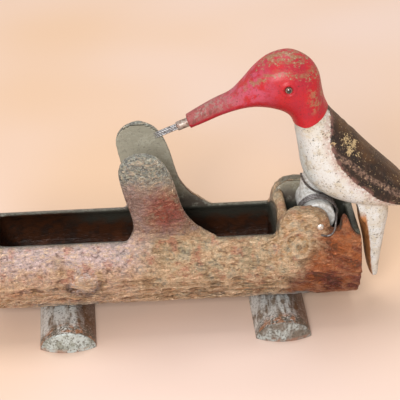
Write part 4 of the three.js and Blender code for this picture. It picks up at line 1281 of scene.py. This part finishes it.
# ------------------------------------------------------------------ stage
def build_stage():
    """Pale table, soft window light from the front left, light from all round, camera."""
    stage = bpy.context.scene.woodpecker_stage
    f = Finish("table_top", roughness=0.7)
    here = f.millimetres()
    cloud = f.noise(here, 320, 2, 0.5)
    colour = f.mix(stage.table, (0.72, 0.56, 0.49), f.step(cloud, 0.34, 0.66))
    f.set(Base_Color=colour)
    u, v = np.meshgrid(np.linspace(-4, 4, 9), np.linspace(-4, 6, 11), indexing="ij")
    grid = np.arange(99).reshape(9, 11)
    points = np.stack([u, v, u * 0], 2).reshape(-1, 3) * 1000 - SHIFT
    faces = np.stack([grid[:-1, :-1], grid[1:, :-1], grid[1:, 1:], grid[:-1, 1:]], 2).reshape(-1, 4)
    mesh = bpy.data.meshes.new("table")
    put_in_mesh(mesh, points, faces)
    table = bpy.data.objects.new("table", mesh)
    table.data.materials.append(f.material)
    bpy.context.scene.collection.objects.link(table)

    centre = (Vector(CAD_BOX[0]) + Vector(CAD_BOX[1])) / 2
    for name, place, size, watts, colour in (
        ("window", (-0.32, -1.25, 0.80), 0.5, stage.key_watts, (1.0, 0.98, 0.97)),
        ("overhead", (0.0, 0.45, 1.4), 0.8, stage.key_watts * 0.55, (1.0, 0.97, 0.94)),
    ):
        lamp = bpy.data.lights.new(name, "AREA")
        lamp.energy, lamp.size, lamp.color = watts, size, colour
        made = bpy.data.objects.new(name, lamp)
        made.location = place
        made.rotation_euler = (centre - Vector(place)).to_track_quat("-Z", "Y").to_euler()
        bpy.context.scene.collection.objects.link(made)
    world = bpy.data.worlds.new("room")
    world.use_nodes = True
    world.node_tree.nodes["Background"].inputs["Color"].default_value = (1.0, 0.96, 0.92, 1)
    world.node_tree.nodes["Background"].inputs["Strength"].default_value = stage.sky
    bpy.context.scene.world = world
    bpy.context.scene.view_settings.view_transform = "Standard"

    lens = bpy.data.cameras.new("camera")
    lens.lens, lens.sensor_width, lens.clip_start, lens.clip_end = CAMERA_LENS, 36, 0.01, 20
    camera = bpy.data.objects.new("camera", lens)
    height, turn, roll = (math.radians(a) for a in (CAMERA_HEIGHT, CAMERA_TURN, CAMERA_ROLL))
    level_reach = math.cos(height)
    forward = Vector((math.sin(turn) * level_reach, math.cos(turn) * level_reach, -math.sin(height)))
    level = Vector((math.cos(turn), -math.sin(turn), 0))
    upward = level.cross(forward)
    right = math.cos(roll) * level - math.sin(roll) * upward
    above = math.sin(roll) * level + math.cos(roll) * upward
    place = Vector(CAMERA_PLACE) + Vector(SHIFT * 0.001)
    facing = Matrix((right, above, -forward)).transposed().to_4x4()
    camera.matrix_world = Matrix.Translation(place) @ facing
    bpy.context.scene.collection.objects.link(camera)
    bpy.context.scene.camera = camera


# ------------------------------------------------------------------ operators and panel
class WOODPECKER_OT_log(bpy.types.Operator):
    """Build the patinated log with its stubs, ears and bulkhead"""

    bl_idname = "woodpecker.log"
    bl_label = "Log Casting"
    bl_options = {"REGISTER", "UNDO"}

    def execute(self, context):
        build_log()
        return {"FINISHED"}


class WOODPECKER_OT_feet(bpy.types.Operator):
    """Build the two grey cast feet"""

    bl_idname = "woodpecker.feet"
    bl_label = "Cross Feet"
    bl_options = {"REGISTER", "UNDO"}

    def execute(self, context):
        build_feet()
        return {"FINISHED"}


class WOODPECKER_OT_bird(bpy.types.Operator):
    """Build the painted bird"""

    bl_idname = "woodpecker.bird"
    bl_label = "Bird Casting"
    bl_options = {"REGISTER", "UNDO"}

    def execute(self, context):
        build_bird()
        return {"FINISHED"}


class WOODPECKER_OT_pin(bpy.types.Operator):
    """Build the hinge pin"""

    bl_idname = "woodpecker.pin"
    bl_label = "Hinge Pin"
    bl_options = {"REGISTER", "UNDO"}

    def execute(self, context):
        build_pin()
        return {"FINISHED"}


class WOODPECKER_OT_spring(bpy.types.Operator):
    """Build the spring that lifts the bird"""

    bl_idname = "woodpecker.spring"
    bl_label = "Torsion Spring"
    bl_options = {"REGISTER", "UNDO"}

    def execute(self, context):
        build_spring()
        return {"FINISHED"}


class WOODPECKER_OT_needles(bpy.types.Operator):
    """Build the needle plug and its four needles"""

    bl_idname = "woodpecker.needles"
    bl_label = "Needles"
    bl_options = {"REGISTER", "UNDO"}

    def execute(self, context):
        build_needles()
        return {"FINISHED"}


class WOODPECKER_OT_eyes(bpy.types.Operator):
    """Build the glass bead eyes"""

    bl_idname = "woodpecker.eyes"
    bl_label = "Eyes"
    bl_options = {"REGISTER", "UNDO"}

    def execute(self, context):
        build_eyes()
        return {"FINISHED"}


class WOODPECKER_OT_screws(bpy.types.Operator):
    """Give the foot screws their steel"""

    bl_idname = "woodpecker.screws"
    bl_label = "Foot Screws"
    bl_options = {"REGISTER", "UNDO"}

    def execute(self, context):
        finish_screws()
        return {"FINISHED"}


class WOODPECKER_OT_stage(bpy.types.Operator):
    """Build the table, lights and camera"""

    bl_idname = "woodpecker.stage"
    bl_label = "Stage"
    bl_options = {"REGISTER", "UNDO"}

    def execute(self, context):
        build_stage()
        return {"FINISHED"}


OPERATORS = [
    WOODPECKER_OT_log,
    WOODPECKER_OT_feet,
    WOODPECKER_OT_bird,
    WOODPECKER_OT_pin,
    WOODPECKER_OT_spring,
    WOODPECKER_OT_needles,
    WOODPECKER_OT_eyes,
    WOODPECKER_OT_screws,
    WOODPECKER_OT_stage,
]


class WOODPECKER_PT_build(bpy.types.Panel):
    """The builders in working order."""

    bl_label = "Woodpecker Dispenser"
    bl_idname = "WOODPECKER_PT_build"
    bl_space_type = "VIEW_3D"
    bl_region_type = "UI"
    bl_category = "Woodpecker"

    def draw(self, context):
        """Settings first, then a button for each builder."""
        scene = context.scene
        for group in (scene.woodpecker_log, scene.woodpecker_bird, scene.woodpecker_stage):
            box = self.layout.box()
            for name in group.bl_rna.properties.keys():
                if name not in {"rna_type", "name"}:
                    box.prop(group, name)
        for made in OPERATORS:
            self.layout.operator(made.bl_idname)


CLASSES = [LogSettings, BirdSettings, StageSettings, *OPERATORS, WOODPECKER_PT_build]


def register():
    """Makes the settings, operators and panel known."""
    for made in CLASSES:
        bpy.utils.register_class(made)
    bpy.types.Scene.woodpecker_log = PointerProperty(type=LogSettings)
    bpy.types.Scene.woodpecker_bird = PointerProperty(type=BirdSettings)
    bpy.types.Scene.woodpecker_stage = PointerProperty(type=StageSettings)


def unregister():
    """Takes them away again."""
    del bpy.types.Scene.woodpecker_stage
    del bpy.types.Scene.woodpecker_bird
    del bpy.types.Scene.woodpecker_log
    for made in reversed(CLASSES):
        bpy.utils.unregister_class(made)


def main():
    """Builds every piece in working order."""
    register()
    bpy.ops.woodpecker.log()
    bpy.ops.woodpecker.feet()
    bpy.ops.woodpecker.bird()
    bpy.ops.woodpecker.pin()
    bpy.ops.woodpecker.spring()
    bpy.ops.woodpecker.needles()
    bpy.ops.woodpecker.eyes()
    bpy.ops.woodpecker.screws()
    bpy.ops.woodpecker.stage()


if __name__ == "__main__":
    main()
